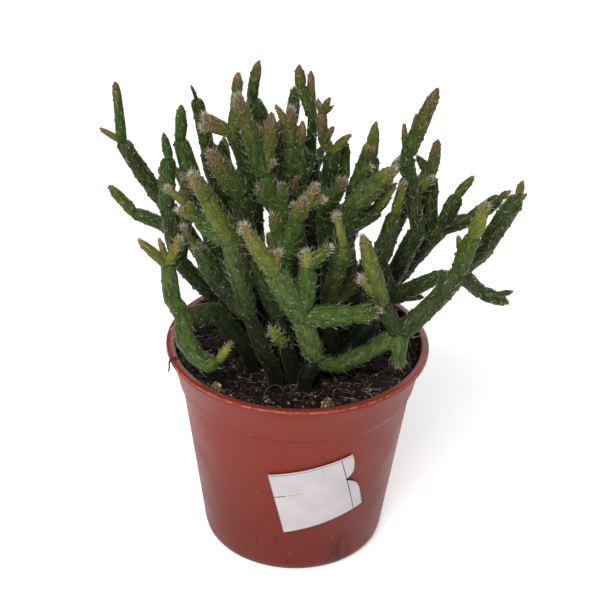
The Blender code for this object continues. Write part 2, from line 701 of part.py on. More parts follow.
def make_soil(feet):
    inside = pot_inside(SOIL_GAP)[2:]
    edge = soil_edge(SOIL_TOP - 0.8)
    profile = [(0.0, FLOOR + SOIL_GAP)] + inside[::-1] + [
        (edge, SOIL_TOP - 0.8),
        (edge - 0.6, SOIL_TOP),
        (24.0, SOIL_TOP),
        (17.0, SOIL_TOP),
        (9.0, SOIL_TOP),
        (0.0, SOIL_TOP),
    ]
    mesh = turned_mesh("soil_body", profile, SOIL_SIDES)
    for vertex in mesh.vertices:
        if vertex.co.z > (SOIL_TOP - 0.1) * MM:
            vertex.co.z = soil_height(vertex.co.x / MM, vertex.co.y / MM) * MM
    hole_radius = (ROOT_RADIUS + HOLE_GAP) / math.cos(math.pi / HOLE_SIDES)
    bottom = SOIL_TOP - ROOT_DEPTH - HOLE_GAP
    holes = []
    for x, y in feet:
        hole = turned_mesh("hole", [
            (0.0, bottom), (hole_radius, bottom), (hole_radius, SOIL_TOP + 3), (0.0, SOIL_TOP + 3),
        ], HOLE_SIDES)
        hole.transform(Matrix.Translation((x * MM, y * MM, 0)))
        holes.append(hole)
    body = add_object("soil_body", mesh)
    peat = make_material("soil_peat", (0.022, 0.014, 0.010), 0.95)
    combine("soil", holes, peat, "DIFFERENCE", body)


def on_pot_wall(arc, height, out):
    """Point in metres `out` mm off the pot's body, at an arc length along it and a height."""
    angle = arc / wall_radius(LABEL_MIDDLE_HEIGHT)
    radius = wall_radius(height) + out
    return Vector((math.sin(angle) * radius, -math.cos(angle) * radius, height)) * MM


def make_label():
    """A sheet cut to its outline, in strips that follow the round wall."""
    tilt = math.radians(LABEL_TILT)
    width = max(x for x, _ in LABEL_OUTLINE) - min(x for x, _ in LABEL_OUTLINE)
    left = min(x for x, _ in LABEL_OUTLINE)
    shape = bmesh.new()
    shape.faces.new([shape.verts.new((x, y, 0)) for x, y in LABEL_OUTLINE])
    for strip in range(1, LABEL_STRIPS):
        everything = shape.verts[:] + shape.edges[:] + shape.faces[:]
        bmesh.ops.bisect_plane(shape, geom=everything, dist=1e-4,
                               plane_co=(left + width * strip / LABEL_STRIPS, 0, 0),
                               plane_no=(1, 0, 0))
    bmesh.ops.triangulate(shape, faces=shape.faces)
    under = shape.verts[:]
    raised = bmesh.ops.extrude_face_region(shape, geom=shape.faces[:])["geom"]
    over = [item for item in raised if isinstance(item, bmesh.types.BMVert)]
    for verts, out in ((under, LABEL_GAP), (over, LABEL_GAP + LABEL_THICKNESS)):
        for vertex in verts:
            x, y = vertex.co.x, vertex.co.y
            arc = LABEL_MIDDLE_ARC + x * math.cos(tilt) - y * math.sin(tilt)
            height = LABEL_MIDDLE_HEIGHT + x * math.sin(tilt) + y * math.cos(tilt)
            vertex.co = on_pot_wall(arc, height, out)
    bmesh.ops.recalc_face_normals(shape, faces=shape.faces)
    mesh = bpy.data.meshes.new("label")
    shape.to_mesh(mesh)
    shape.free()
    add_object("label", mesh, make_material("label_paper", (0.78, 0.78, 0.79), 0.55))


def tube_mesh(rings, sides, pointed):
    """Closed tube through rings of (centre, direction, radius) in mm, with a point or a flat end."""
    shape = bmesh.new()
    across = rings[0][1].orthogonal().normalized()
    loops = []
    for centre, direction, radius in rings:
        across = (across - direction * across.dot(direction)).normalized()
        beside = direction.cross(across)
        loop = []
        for corner in range(sides):
            angle = math.tau * corner / sides
            offset = across * math.cos(angle) + beside * math.sin(angle)
            loop.append(shape.verts.new((centre + offset * radius) * MM))
        loops.append(loop)
    for low, high in zip(loops, loops[1:]):
        for corner in range(sides):
            after = (corner + 1) % sides
            shape.faces.new((low[corner], low[after], high[after], high[corner]))
    shape.faces.new(loops[0][::-1])
    if pointed:
        centre, direction, radius = rings[-1]
        point = shape.verts.new((centre + direction * radius * TIP_LENGTH) * MM)
        for corner in range(sides):
            shape.faces.new((loops[-1][corner], loops[-1][(corner + 1) % sides], point))
    else:
        shape.faces.new(loops[-1])
    bmesh.ops.recalc_face_normals(shape, faces=shape.faces)
    mesh = bpy.data.meshes.new("tube")
    shape.to_mesh(mesh)
    shape.free()
    return mesh


def shoot_line(clump, shoot):
    """Start and end of a shoot, in mm."""
    first, second = clump.starts[shoot]
    share = clump.shares[shoot]
    start = clump.points[first] * (1 - share) + clump.points[second] * share
    return Vector(start), Vector(clump.points[clump.ends[shoot]])


def shoot_runs(clump, shoots):
    """Lists of shoots that follow on from each other without a sharp turn."""
    children = {shoot: [] for shoot in shoots}
    for shoot in shoots:
        if clump.parents[shoot] in children and clump.shares[shoot] == 1.0:
            children[clump.parents[shoot]].append(shoot)

    def heading(shoot):
        start, end = shoot_line(clump, shoot)
        return (end - start).normalized()

    follows = {}
    for shoot in shoots:
        girth = clump.girths[shoot]
        fits = [
            child for child in children[shoot]
            if heading(child).dot(heading(shoot)) > FOLLOW_ON_COSINE
            and 0.6 < clump.girths[child] / girth < 1.5
            and (shoot_line(clump, child)[1] - shoot_line(clump, child)[0]).length > girth
        ]
        if fits:
            follows[shoot] = max(fits, key=lambda child: heading(child).dot(heading(shoot)))
    taken = set(follows.values())
    runs = []
    for shoot in shoots:
        if shoot in taken:
            continue
        run = [shoot]
        while run[-1] in follows:
            run.append(follows[run[-1]])
        runs.append(run)
    return runs


def run_rings(clump, run):
    """Rings of a run of shoots: drawn in at each joint, fuller along each shoot."""
    lines = [shoot_line(clump, shoot) for shoot in run]
    headings = [(end - start).normalized() for start, end in lines]
    radii = [clump.girths[shoot] / 2 for shoot in run]
    start, ahead, radius = lines[0][0], headings[0], radii[0]
    rings = []
    if clump.parents[run[0]] < 0:
        up = Vector((0, 0, 1))
        bottom = SOIL_TOP - ROOT_DEPTH
        root = Vector((start.x, start.y, 0))
        rings.append((root + up * bottom, up, ROOT_RADIUS * 0.6))
        rings.append((root + up * (bottom + 1.5), up, ROOT_RADIUS))
        rings.append((start, (up + ahead).normalized(), ROOT_RADIUS))
    else:
        rings.append((start - ahead * SUNK_START * radius, ahead, NECK * radius))
    for place, (start, end) in enumerate(lines):
        ahead, radius = headings[place], radii[place]
        length = (end - start).length
        rings.append((start + ahead * FULL_FROM * length, ahead, radius))
        if place < len(run) - 1:
            rings.append((start + ahead * FULL_TO * length, ahead, FULL_TO_GIRTH * radius))
            middle = (ahead + headings[place + 1]).normalized()
            rings.append((end, middle, NECK * min(radius, radii[place + 1]) + 0.05))
        else:
            rings.append((end - ahead * TIP_START * radius, ahead, TIP_GIRTH * radius))
    return rings


def make_stems(clump):
    green = make_material("stem_skin", (0.060, 0.115, 0.030), 0.5)
    for stem in dict.fromkeys(clump.stems):
        shoots = [index for index, name in enumerate(clump.stems) if name == stem]
        runs = shoot_runs(clump, shoots)
        meshes = []
        for run in runs:
            girth = max(clump.girths[shoot] for shoot in run)
            sides = next(count for limit, count in SIDES_BY_GIRTH if girth >= limit)
            meshes.append(tube_mesh(run_rings(clump, run), sides, True))
        smooth(combine(stem, meshes, green), 50)


def main():
    for item in list(bpy.data.objects):
        bpy.data.objects.remove(item, do_unlink=True)
    clump = grow_clump()
    feet = [foot for foot, _ in STEMS.values()] + [foot for foot, _, _ in REAR_STEMS.values()]
    make_pot()
    make_soil(feet)
    make_label()
    make_stems(clump)


main()
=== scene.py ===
import json
import math
import random

import bmesh
import bpy
import numpy as np
from mathutils import Matrix, Vector, noise

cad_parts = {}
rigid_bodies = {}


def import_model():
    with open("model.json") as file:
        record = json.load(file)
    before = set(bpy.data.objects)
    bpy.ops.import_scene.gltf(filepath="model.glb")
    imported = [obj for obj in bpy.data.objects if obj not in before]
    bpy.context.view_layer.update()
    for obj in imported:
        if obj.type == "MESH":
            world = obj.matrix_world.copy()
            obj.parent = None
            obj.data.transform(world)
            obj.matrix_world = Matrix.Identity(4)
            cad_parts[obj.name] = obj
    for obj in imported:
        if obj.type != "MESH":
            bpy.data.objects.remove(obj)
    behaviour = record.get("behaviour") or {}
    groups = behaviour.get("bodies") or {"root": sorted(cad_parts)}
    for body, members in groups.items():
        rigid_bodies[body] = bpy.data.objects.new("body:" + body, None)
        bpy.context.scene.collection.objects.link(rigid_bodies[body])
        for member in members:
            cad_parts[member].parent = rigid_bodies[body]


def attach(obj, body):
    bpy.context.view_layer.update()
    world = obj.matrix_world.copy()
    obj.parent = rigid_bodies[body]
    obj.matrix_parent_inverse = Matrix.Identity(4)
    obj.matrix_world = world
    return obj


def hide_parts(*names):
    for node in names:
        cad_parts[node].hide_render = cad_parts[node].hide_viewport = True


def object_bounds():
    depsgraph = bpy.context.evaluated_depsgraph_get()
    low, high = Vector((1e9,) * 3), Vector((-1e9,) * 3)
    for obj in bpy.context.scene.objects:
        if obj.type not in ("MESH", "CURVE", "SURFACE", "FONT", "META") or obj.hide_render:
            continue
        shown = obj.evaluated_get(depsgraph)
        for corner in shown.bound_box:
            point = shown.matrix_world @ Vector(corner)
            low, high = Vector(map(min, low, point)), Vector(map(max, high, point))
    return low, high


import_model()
cadBox = [list(corner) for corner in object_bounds()]
mm = 0.001
goldenTurn = math.radians(137.508)


# colours from 0 to 255 as seen on screen, turned into the shader's own numbers
def screenColour(red, green, blue):
    shares = [value / 255 for value in (red, green, blue)]
    return tuple(
        share / 12.92 if share <= 0.04045 else ((share + 0.055) / 1.055) ** 2.4 for share in shares
    )


# where the shoots stand: seen from a point in front of the pot and above it, in mm,
# across and up against the upright plane through the pot's axis, and back from it
viewPoint = {"distance": 346.3, "height": 266.0, "across": 0.3}

clumpSettings = {
    "soilTop": 49.8,
    "soilRelief": 0.45,
    "rootDepth": 4.0,
    "rootRadius": 1.9,
    "collar": 2.3,            # from the soil up to a stem's first joint
    "gap": 0.42,              # between shoots of two stems
    "ownGap": 0.1,            # between shoots of one stem
    "slack": 0.02,            # how much too near two shoots may stay
    "spare": 0.06,            # and how much further than needed they are pushed
    "acrossSight": 0.35,      # share of a push across the line of sight
    "alongSight": 1.6,        # and along it, where it doesn't show
    "countedPush": 0.15,
    "calming": 0.6,           # how far pushes on one joint share out
    "homing": 0.012,          # share of the way home in each round
    "rounds": 420,
    "holdingRounds": 260,     # rounds that still draw the joints home
    "overSoil": 1.0,          # room under a joint over the soil
    "overLip": 0.6,           # and over the pot's lip
    "lipReach": 5.5,          # how far inside the lip that starts
}

# after each stem's foot, its shoots: name, what it grows from, across, up, back and girth, and then,
# where they aren't drawn, its looks: how light it is, as paleness partly painted light and shade, how young
# from 0, dark and old, to 1, yellow, how far brown reaches back from its tip, and how thick its tuft is
stemTable = {
    "stem_front": ((2, -15), [
        ("knee", "foot", 4.4, 48.8, -13, 4.2, 0.3, 0, 0, 0),
        ("trunk", "knee", 0.7, 60.8, -17, 5.2, 1, 0, 0, 0),
        ("crown", "trunk", -6.2, 73.5, -24, 5.6, 0.92, 0.1, 0, 0),
        ("crown_tip", "crown", -13.8, 85.8, -28, 4.0, 0.9, 0.8, 0.45, 1),
        ("crown_bud", "crown", -5.2, 79.0, -25, 2.2, 0.8, 0.6, 0.8, 1),
        ("upright", "trunk", 1.9, 75.0, -20, 4.5, 0.8, 0.3, 0, 0),
        ("upright_tip", "upright", 1.3, 79.3, -20, 2.8, 0.9, 1, 0.1, 0.9),
        ("upright_side", "upright", 7.6, 80.9, -18, 3.2, 0.9, 0.5, 0.2, 0.7),
        ("arm", "trunk", 13.3, 62.0, -20, 5.1, 0.9, 0.34, 0, 0),
        ("arm_knob", "arm", 20.3, 63.5, -19, 4.8, 0.9, 0.4, 0.2, 0.4),
        ("reach", "knee", 10.0, 47.0, -12, 4.2, 0.88, 0, 0, 0),
        ("reach_mid", "reach", 18.7, 52.3, -12, 4.4, 0.93, 0, 0, 0),
        ("reach_end", "reach_mid", 24.6, 56.6, -12, 4.4, 0.97, 0, 0, 0),
        ("hang", "reach_end", 25.3, 51.6, -15, 4.5, 1, 0.2, 0, 0),
        ("hang_tip", "hang", 25.4, 45.5, -15, 3.6, 1, 0.3, 0.5, 0.7),
        ("prop", "reach_end", 20.4, 65.0, -15, 4.1, 0.6, 0.2, 0, 0),
        ("prop_tip", "prop", 14.7, 84.0, -20, 4.0, 0.85, 0.72, 0.2, 1),
        ("prop_bud", "prop", 14.9, 72.3, -18, 2.6, 0.9, 0.9, 0.3, 1),
        ("sweep", "reach_end", 32.5, 65.4, -8, 4.8, 0.45, 0.05, 0, 0),
        ("sweep_end", "sweep", 38.5, 74.8, -6, 4.8, 0.45, 0.1, 0, 0),
        ("sweep_up", "sweep_end", 41.3, 84.7, -8, 4.3, 0.6, 0.35, 0, 0),
        ("sweep_top", "sweep_up", 43.5, 93.6, -9, 3.6, 0.9, 0.8, 0.3, 0.8),
        ("out", "sweep_end", 44.5, 69.1, -3, 3.7),
        ("out_tip", "out", 51.3, 66.5, -3, 3.7, 0.4, 0.1, 0.3, 0.3),
        ("out_bud", ("out_tip", 0.3), 52.0, 69.8, -4, 1.7),
        ("short", "sweep_end", 46.2, 81.5, 5, 3.7),
        ("far", "sweep_end", 44.5, 82.3, 0, 4.3, 0.4, 0.1, 0, 0),
        ("far_top", "far", 51.0, 95.8, 2, 4.5, 0.4, 0.1, 0.1, 0.2),
        ("far_bud", "far_top", 51.6, 99.7, 2, 2.1, 0.6, 0.5, 1, 0.4),
        ("far_bud_low", ("far_top", 0.8), 52.9, 96.3, 0, 1.7, 0.6, 0.4, 1, 0.4),
        ("sweep_side", ("sweep_up", 0.35), 37.4, 84.6, -5, 2.2, 0.6, 0.5, 0.5, 0.5),
    ]),
    "stem_left": ((-5, -14), [
        ("base", "foot", -11.5, 61.0, -12, 3.9),
        ("pole", "base", -16.5, 82.0, -16, 4.6, 0.7, 0.1, 0, 0),
        ("pole_top", "pole", -22.7, 93.2, -20, 3.8, 0.8, 0.68, 0, 0),
        ("pole_tip", "pole_top", -26.0, 99.0, -24, 3.7, 0.8, 0.7, 1, 1),
        ("side", "base", -20.0, 70.0, -9, 4.6),
        ("side_tip", "side", -25.0, 80.5, -8, 4.6, 0.5, 0.2, 0.2, 1),
        ("side_bud", ("side_tip", 0.8), -28.0, 85.0, -8, 1.7, 0.6, 0.5, 1, 1),
        ("branch", "pole", -25.0, 87.3, -12, 4.4, 0.6, 0.3, 0, 0),
        ("branch_top", "branch", -27.4, 91.4, -11, 3.1, 0.7, 0.5, 0.3, 0.5),
        ("branch_tip", "branch_top", -31.7, 95.2, -11, 2.1, 0.8, 0.7, 0.6, 1),
        ("branch_bud", "branch", -29.1, 89.4, -13, 1.9, 0.8, 0.6, 0.7, 1),
        ("inner", "base", -19.2, 77.5, -6, 4.6),
        ("inner_top", "inner", -24.0, 88.5, -6, 4.2, 0.4, 0.1, 0.1, 0.3),
    ]),
    "stem_left_middle": ((-1, -11), [
        ("base", "foot", -5.5, 62.0, -9, 3.8),
        ("bud_low", ("base", 0.45), -7.2, 57.0, -13, 3.1, 1, 0.85, 0, 0.3),
        ("bud_high", ("base", 0.9), -3.6, 65.5, -12, 2.1, 0.8, 0.4, 0.8, 0.3),
        ("left", "base", -12.3, 75.5, -13, 4.0, 0.6, 0.25, 0.1, 0.1),
        ("rise", "base", -3.5, 78.0, -10, 4.4, 0.6, 0.2, 0, 0),
        ("rise_left", "rise", -7.2, 89.0, -12, 4.0, 0.6, 0.2, 0.3, 0.6),
        ("rise_up", "rise", -0.8, 87.5, -12, 4.6, 0.6, 0.3, 0, 0),
        ("up_bud", "rise_up", -1.7, 92.1, -12, 2.6, 0.8, 0.6, 1, 0.5),
        ("up_bud_front", "rise_up", 0.4, 93.4, -14, 2.6, 0.8, 0.6, 1, 0.5),
        ("up_tip", "rise_up", 3.4, 97.1, -12, 3.1, 0.8, 0.7, 0.9, 0.7),
        ("up_side", ("up_tip", 0.4), 5.4, 93.4, -11, 1.9, 0.8, 0.6, 0.9, 0.9),
    ]),
    "stem_low_left": ((-11, -8), [
        ("base", "foot", -12.7, 51.5, -8, 4.0),
        ("lean", "base", -20.0, 62.0, -8, 4.6),
        ("out", "lean", -28.0, 59.8, -14, 4.6, 0.5, 0.2, 0, 0),
        ("out_up", "out", -31.0, 64.7, -13, 4.1, 0.7, 0.15, 0, 0),
        ("out_top", "out_up", -32.1, 74.5, -12, 4.1, 0.75, 0.1, 0, 0),
        ("fan_left", "out_top", -38.9, 81.3, -12, 2.6, 1, 0.74, 0.6, 0.5),
        ("fan_middle", "out_top", -33.9, 81.6, -12, 1.7, 0.95, 0.7, 1.1, 0.5),
        ("fan_right", "out_top", -28.7, 82.1, -12, 2.7, 1, 0.84, 0.7, 0.7),
        ("droop", "out", -28.0, 53.4, -16, 4.6, 0.75, 0.1, 0, 0),
        ("droop_low", "droop", -25.2, 48.7, -17, 4.6, 0.9, 0.15, 0, 0),
        ("droop_turn", "droop_low", -21.9, 46.3, -18, 4.4, 0.95, 0.2, 0, 0),
        ("droop_end", "droop_turn", -19.6, 47.6, -18, 4.1, 0.95, 0.2, 0, 0),
        ("droop_tip", "droop_end", -16.6, 53.0, -17, 2.3, 1, 0.95, 0.35, 0.25),
    ]),
    "stem_far_left": ((-9, -1), [
        ("base", "foot", -20.0, 66.0, -4, 4.0),
        ("lean", "base", -29.3, 76.0, -3, 4.1),
        ("rise", "lean", -31.8, 90.0, 0, 4.0),
        ("rise_top", "rise", -30.9, 103.2, 0, 3.9, 0.5, 0.2, 0, 1),
        ("tip", "rise_top", -32.3, 109.3, 0, 2.3, 0.7, 0.4, 0, 0.1),
        ("stub", ("rise_top", 0.5), -33.6, 100.3, -2, 2.0, 0.6, 0.3, 0.5, 0.2),
        ("inner", "lean", -27.2, 91.0, 3, 4.0),
        ("inner_top", "inner", -27.6, 97.5, 3, 3.6),
    ]),
    "stem_far_left_back": ((-7, 5), [
        ("base", "foot", -18.0, 70.0, 4, 4.0),
        ("lean", "base", -25.0, 80.0, 4, 4.4),
        ("rise", "lean", -33.0, 92.0, 4, 4.1, 0.35, 0, 0, 0),
        ("rise_top", "rise", -42.0, 106.8, 3, 3.9, 0.35, 0.05, 0, 0),
        ("tip", "rise_top", -43.1, 121.7, 2, 2.5, 0.45, 0.3, 0.6, 0.1),
        ("tip_bud", "rise_top", -47.1, 110.0, 3, 1.7, 0.7, 0.6, 1, 0.1),
        ("low", "lean", -33.1, 85.6, 6, 3.6),
        ("low_out", "low", -39.8, 88.5, 6, 3.4, 0.4, 0.2, 0, 0),
        ("low_tip", "low_out", -45.5, 95.4, 6, 2.9, 0.6, 0.5, 0.4, 0.3),
        ("low_bud", "low", -36.6, 88.2, 8, 2.0),
    ]),
    "stem_upper_left": ((-3, 1), [
        ("base", "foot", -8.0, 68.0, 0, 4.0),
        ("rise", "base", -13.0, 82.0, -2, 4.6),
        ("left", "rise", -18.6, 88.0, 0, 3.8),
        ("left_up", "left", -25.6, 97.5, 1, 4.0),
        ("left_top", "left_up", -28.6, 107.6, 2, 4.0, 0.5, 0.1, 0, 0),
        ("left_tip", "left_top", -28.1, 116.5, 2, 2.9, 0.6, 0.3, 0.2, 0.1),
        ("brown", "rise", -14.3, 94.0, -5, 4.8, 0.3, 0.05, 0, 0),
        ("brown_tip", "brown", -22.0, 104.8, -6, 5.3, 0.5, 0.3, 0.8, 0.6),
        ("brown_side", "brown", -17.5, 101.0, 0, 3.8, 0.3, 0.1, 0, 0.3),
    ]),
    "stem_upper_left_back": ((-2, 8), [
        ("base", "foot", -10.0, 75.0, 8, 4.0),
        ("left", "base", -16.0, 88.0, 7, 4.4),
        ("left_up", "left", -20.5, 98.0, 6, 4.2),
        ("left_bend", "left_up", -22.2, 105.0, 6, 3.9),
        ("left_tip", "left_bend", -24.7, 118.1, 6, 3.4, 0.4, 0.05, 0, 0.1),
        ("dry_thread", "left_tip", -25.9, 121.4, 6, 0.9, 0.3, 0, 1, 0),
        ("left_side", "left", -19.0, 107.8, 8, 4.0, 0.3, 0.1, 0, 0.1),
        ("mid", "base", -11.0, 95.0, 5, 4.4),
        ("mid_side", "mid", -14.8, 102.0, 4, 3.2, 0.3, 0.1, 0, 0),
        ("mid_top", "mid", -16.3, 109.7, 0, 3.6, 0.4, 0.22, 0.1, 0),
        ("fork_left", "mid_top", -22.9, 114.2, -1, 2.7, 0.8, 0.6, 0.9, 1),
        ("fork_low", "mid_top", -23.4, 111.2, -3, 2.7, 0.7, 0.6, 0.9, 1),
        ("fork_up", "mid_top", -15.4, 119.5, 0, 3.1, 0.7, 0.55, 0, 1),
        ("fork_tip", "fork_up", -15.1, 124.8, 0, 2.8, 0.7, 0.5, 1, 0.6),
    ]),
    "stem_centre": ((3, -6), [
        ("base", "foot", 0.0, 66.0, -5, 4.2),
        ("rise", "base", -4.0, 84.0, -6, 4.6),
        ("bright", "rise", -9.1, 99.2, -5, 4.1, 0.55, 0.3, 0, 0),
        ("bright_top", "bright", -15.3, 119.3, -4, 4.1, 0.42, 0.32, 0.7, 1),
        ("bud", "bright", -6.7, 102.8, -6, 2.2, 0.8, 0.6, 0.7, 0.5),
        ("red_tip", "bright", -7.4, 115.3, -1, 3.8, 0.5, 0.4, 1, 0.2),
        ("red_horn", ("red_tip", 0.55), -10.4, 111.5, -3, 1.7, 0.6, 0.3, 1, 0.1),
        ("low_tip", "rise", -4.9, 97.2, -6, 3.7, 0.6, 0.4, 0.1, 0.4),
        ("low_side", ("bright", 0.35), -10.5, 96.0, -9, 3.1, 0.6, 0.4, 0.2, 0.3),
        ("inner", "base", -8.0, 84.0, 0, 4.2, 0.6, 0.2, 0.3, 0.5),
    ]),
    "stem_centre_back": ((3, 3), [
        ("base", "foot", 1.0, 72.0, 3, 4.2),
        ("rise", "base", -1.5, 88.0, 2, 4.6),
        ("neck", "rise", -1.0, 97.0, 1, 4.6),
        ("top", "neck", -0.6, 107.2, 1, 4.3, 0.4, 0.1, 0, 0),
        ("top_tip", "top", -0.3, 113.3, 1, 2.0, 0.7, 0.5, 1.3, 0.3),
        ("slim", "neck", -3.2, 106.7, 2, 3.3, 0.45, 0.3, 0.1, 0),
        ("slim_tip", "slim", -3.0, 116.5, 2, 3.3, 0.45, 0.35, 1.2, 0.8),
        ("slim_horn", ("slim_tip", 0.4), -6.6, 117.0, 2, 1.9, 0.8, 0.6, 1, 0.5),
        ("bud", ("neck", 0.6), -1.5, 99.0, -3, 1.7, 0.6, 0.5, 1, 0.1),
        ("right", "neck", 3.3, 104.8, 5, 3.4, 0.3, 0, 0, 0.2),
        ("wide", "rise", -4.8, 103.5, 5, 4.2, 0.3, 0.1, 0, 0),
        ("wide_top", "wide", -5.0, 114.0, 5, 4.0, 0.32, 0.22, 1.2, 0.6),
    ]),
    "stem_back": ((4, 10), [
        ("base", "foot", 4.0, 78.0, 9, 4.0),
        ("rise", "base", 3.0, 93.0, 8, 4.4),
        ("top", "rise", 2.0, 105.0, 7, 3.8, 0.35, 0.05, 0, 0),
        ("tip", "top", 2.0, 114.5, 6, 2.4, 0.4, 0.1, 0, 0),
        ("twin", "tip", -0.8, 121.7, 6, 2.9, 0.6, 0.42, 0, 0),
        ("twin_tip", "twin", -1.4, 127.1, 6, 2.7, 0.55, 0.35, 1.4, 0.1),
        ("twin_right", "tip", 1.3, 125.7, 8, 2.2, 0.6, 0.4, 1.5, 0.1),
        ("left", "top", -3.0, 112.0, 9, 3.3),
        ("left_tip", "left", -2.3, 121.6, 9, 3.3, 0.6, 0.1, 0, 0.8),
        ("sweep", "base", -2.0, 92.0, 9, 4.4),
        ("sweep_up", "sweep", -8.0, 105.0, 8, 4.1),
        ("sweep_bend", "sweep_up", -9.2, 111.7, 8, 4.1, 0.35, 0.1, 0, 0),
        ("sweep_top", "sweep_bend", -12.0, 118.5, 8, 4.1, 0.4, 0.2, 0, 0),
        ("sweep_tip", "sweep_top", -10.5, 127.7, 8, 2.8, 0.7, 0.4, 0.6, 0.1),
    ]),
    "stem_right_centre": ((8, 2), [
        ("base", "foot", 7.0, 74.0, 3, 4.2),
        ("rise", "base", 5.5, 90.0, 3, 4.6),
        ("neck", "rise", 6.5, 97.0, 4, 4.1),
        ("top", "neck", 6.3, 105.5, 4, 3.8, 0.3, 0, 0, 0),
        ("tip_low", "top", 4.7, 108.2, 3, 2.5, 0.5, 0.5, 0.4, 0),
        ("tip", "tip_low", 4.1, 115.5, 1, 2.5, 0.5, 0.45, 1.3, 0.9),
        ("tip_bud", "tip", 5.8, 119.3, 1, 1.8, 0.6, 0.5, 1, 0.1),
        ("tip_bud_left", "tip", 3.0, 118.9, 3, 1.7, 0.5, 0.4, 1, 0.1),
        ("tip_bud_right", "tip", 6.7, 117.1, 2, 1.9, 0.6, 0.4, 1, 0.1),
        ("tip_side", ("tip_low", 0.9), 6.9, 112.1, 0, 1.7, 0.7, 0.5, 1.3, 0.1),
        ("right", "rise", 9.9, 99.0, 8, 3.6, 0.4, 0.2, 0, 0),
        ("right_tip", "right", 9.9, 108.5, 8, 2.8, 0.5, 0.4, 0, 0),
        ("top_side", "top", 11.0, 110.3, 3, 2.2, 0.7, 0.7, 0.4, 0.1),
        ("front", "rise", 9.7, 98.7, -5, 4.0, 0.6, 0.35, 0.2, 0.6),
    ]),
    "stem_right_front": ((9, -7), [
        ("base", "foot", 7.0, 64.5, -8, 4.0),
        ("stub", "foot", 5.5, 60.0, -11, 3.8, 0.3, 0.1, 0, 0.3),
        ("side", "base", 14.5, 73.0, -6, 4.6),
        ("front", "base", 9.4, 75.3, -13, 4.0, 0.5, 0.45, 0, 0),
        ("front_tip", "front", 10.2, 81.1, -16, 4.0, 0.5, 0.4, 0.1, 0.1),
        ("front_bud", "front_tip", 8.3, 89.2, -17, 2.1, 0.9, 0.85, 0.3, 1),
        ("low", "foot", 18.5, 60.2, -4, 4.6, 0.4, 0.1, 0, 0),
        ("low_up", "low", 16.5, 69.5, -4, 3.8, 0.4, 0.1, 0.1, 0.3),
    ]),
    "stem_right": ((12, -2), [
        ("base", "foot", 14.0, 58.0, -1, 4.2),
        ("lean", "base", 22.7, 67.0, 0, 4.6),
        ("out", "lean", 36.5, 74.8, -2, 4.3),
        ("out_low", "lean", 30.5, 67.5, 2, 2.1),
        ("back_up", "lean", 19.5, 77.0, 0, 3.7),
        ("back_top", "back_up", 21.5, 90.7, 2, 4.2, 0.4, 0.1, 0, 0),
        ("back_tip", "back_top", 23.8, 98.4, 2, 2.4, 0.8, 0.8, 0.3, 0.5),
        ("rise", "base", 12.0, 74.0, -1, 4.6),
        ("rise_top", "rise", 10.0, 84.0, -3, 4.6),
        ("thick", "rise_top", 12.0, 92.2, -4, 4.9, 0.35, 0.1, 0, 0),
        ("thick_up", "thick", 18.0, 98.6, -4, 4.9, 0.6, 0.45, 0, 0),
        ("thick_tip", "thick_up", 21.5, 102.0, -6, 3.6, 0.8, 0.7, 0.5, 1),
        ("slim", "rise_top", 21.0, 94.5, 0, 3.2, 0.4, 0.1, 0, 0.5),
        ("slim_bud", ("slim", 0.7), 22.0, 98.1, -2, 2.6, 0.8, 0.7, 0.6, 0.6),
        ("bud", "rise_top", 19.7, 89.6, 2, 2.2, 0.8, 0.8, 0.2, 0.4),
        ("inner", "base", 15.8, 79.0, 3, 4.2),
    ]),
    "stem_right_back": ((12.5, 5.5), [
        ("base", "foot", 21.0, 69.0, 7, 4.2),
        ("rise", "base", 28.0, 86.0, 4, 4.6),
        ("rise_bud", "rise", 27.5, 91.0, 3, 2.1, 0.7, 0.6, 0.9, 0.4),
        ("slim", "rise", 24.3, 105.3, 8, 3.7, 0.35, 0.05, 0, 0),
        ("slim_bud", ("slim", 0.6), 22.0, 104.0, 7, 1.9, 0.4, 0.1, 0, 0.8),
        ("slim_tip", "slim", 23.0, 113.4, 8, 1.7, 0.6, 0.4, 1, 0),
        ("slim_top", "slim", 30.3, 122.4, 8, 3.8, 0.45, 0.34, 0.75, 0.1),
        ("slim_thin", "slim", 25.8, 115.9, 8, 1.7, 0.5, 0.3, 1, 0),
        ("out", "base", 27.3, 78.0, 9, 4.2, 0.35, 0, 0, 0),
        ("out_up", "out", 33.6, 86.6, 8, 4.2, 0.35, 0, 0, 0),
        ("out_right", "out_up", 40.0, 89.1, 7, 3.9, 0.25, 0, 0, 0),
        ("out_tip", "out_right", 47.0, 95.2, 8, 3.5, 0.3, 0, 0.1, 0.1),
        ("out_bud", "out_tip", 49.0, 96.9, 8, 2.0, 0.6, 0.5, 1, 0.6),
        ("heavy", ("out_up", 0.5), 29.5, 100.0, 9, 4.6, 0.3, 0, 0, 0),
        ("heavy_tip", "heavy", 31.1, 109.5, 8, 3.0, 0.5, 0.42, 0.8, 0.1),
        ("heavy_side", "heavy", 26.4, 105.3, 12, 2.5, 0.8, 0.7, 0.5, 0.6),
        ("upper", "out_up", 36.7, 95.5, 8, 4.0, 0.35, 0, 0, 0),
        ("upper_tip", "upper", 40.1, 100.5, 8, 2.4, 0.8, 0.6, 0.1, 0.5),
    ]),
    "stem_right_centre_back": ((9, 11.5), [
        ("base", "foot", 11.0, 80.0, 10, 4.0),
        ("rise", "base", 12.1, 97.0, 9, 4.0, 0.5, 0.1, 0, 0),
        ("top", "rise", 15.4, 108.0, 9, 3.2, 0.95, 0.35, 0.2, 0),
        ("tip", "top", 16.7, 113.7, 9, 2.1, 1, 0.7, 0.5, 0),
        ("side", ("top", 0.3), 15.9, 102.2, 6, 1.8, 0.8, 0.7, 0.1, 0.8),
    ]),
}

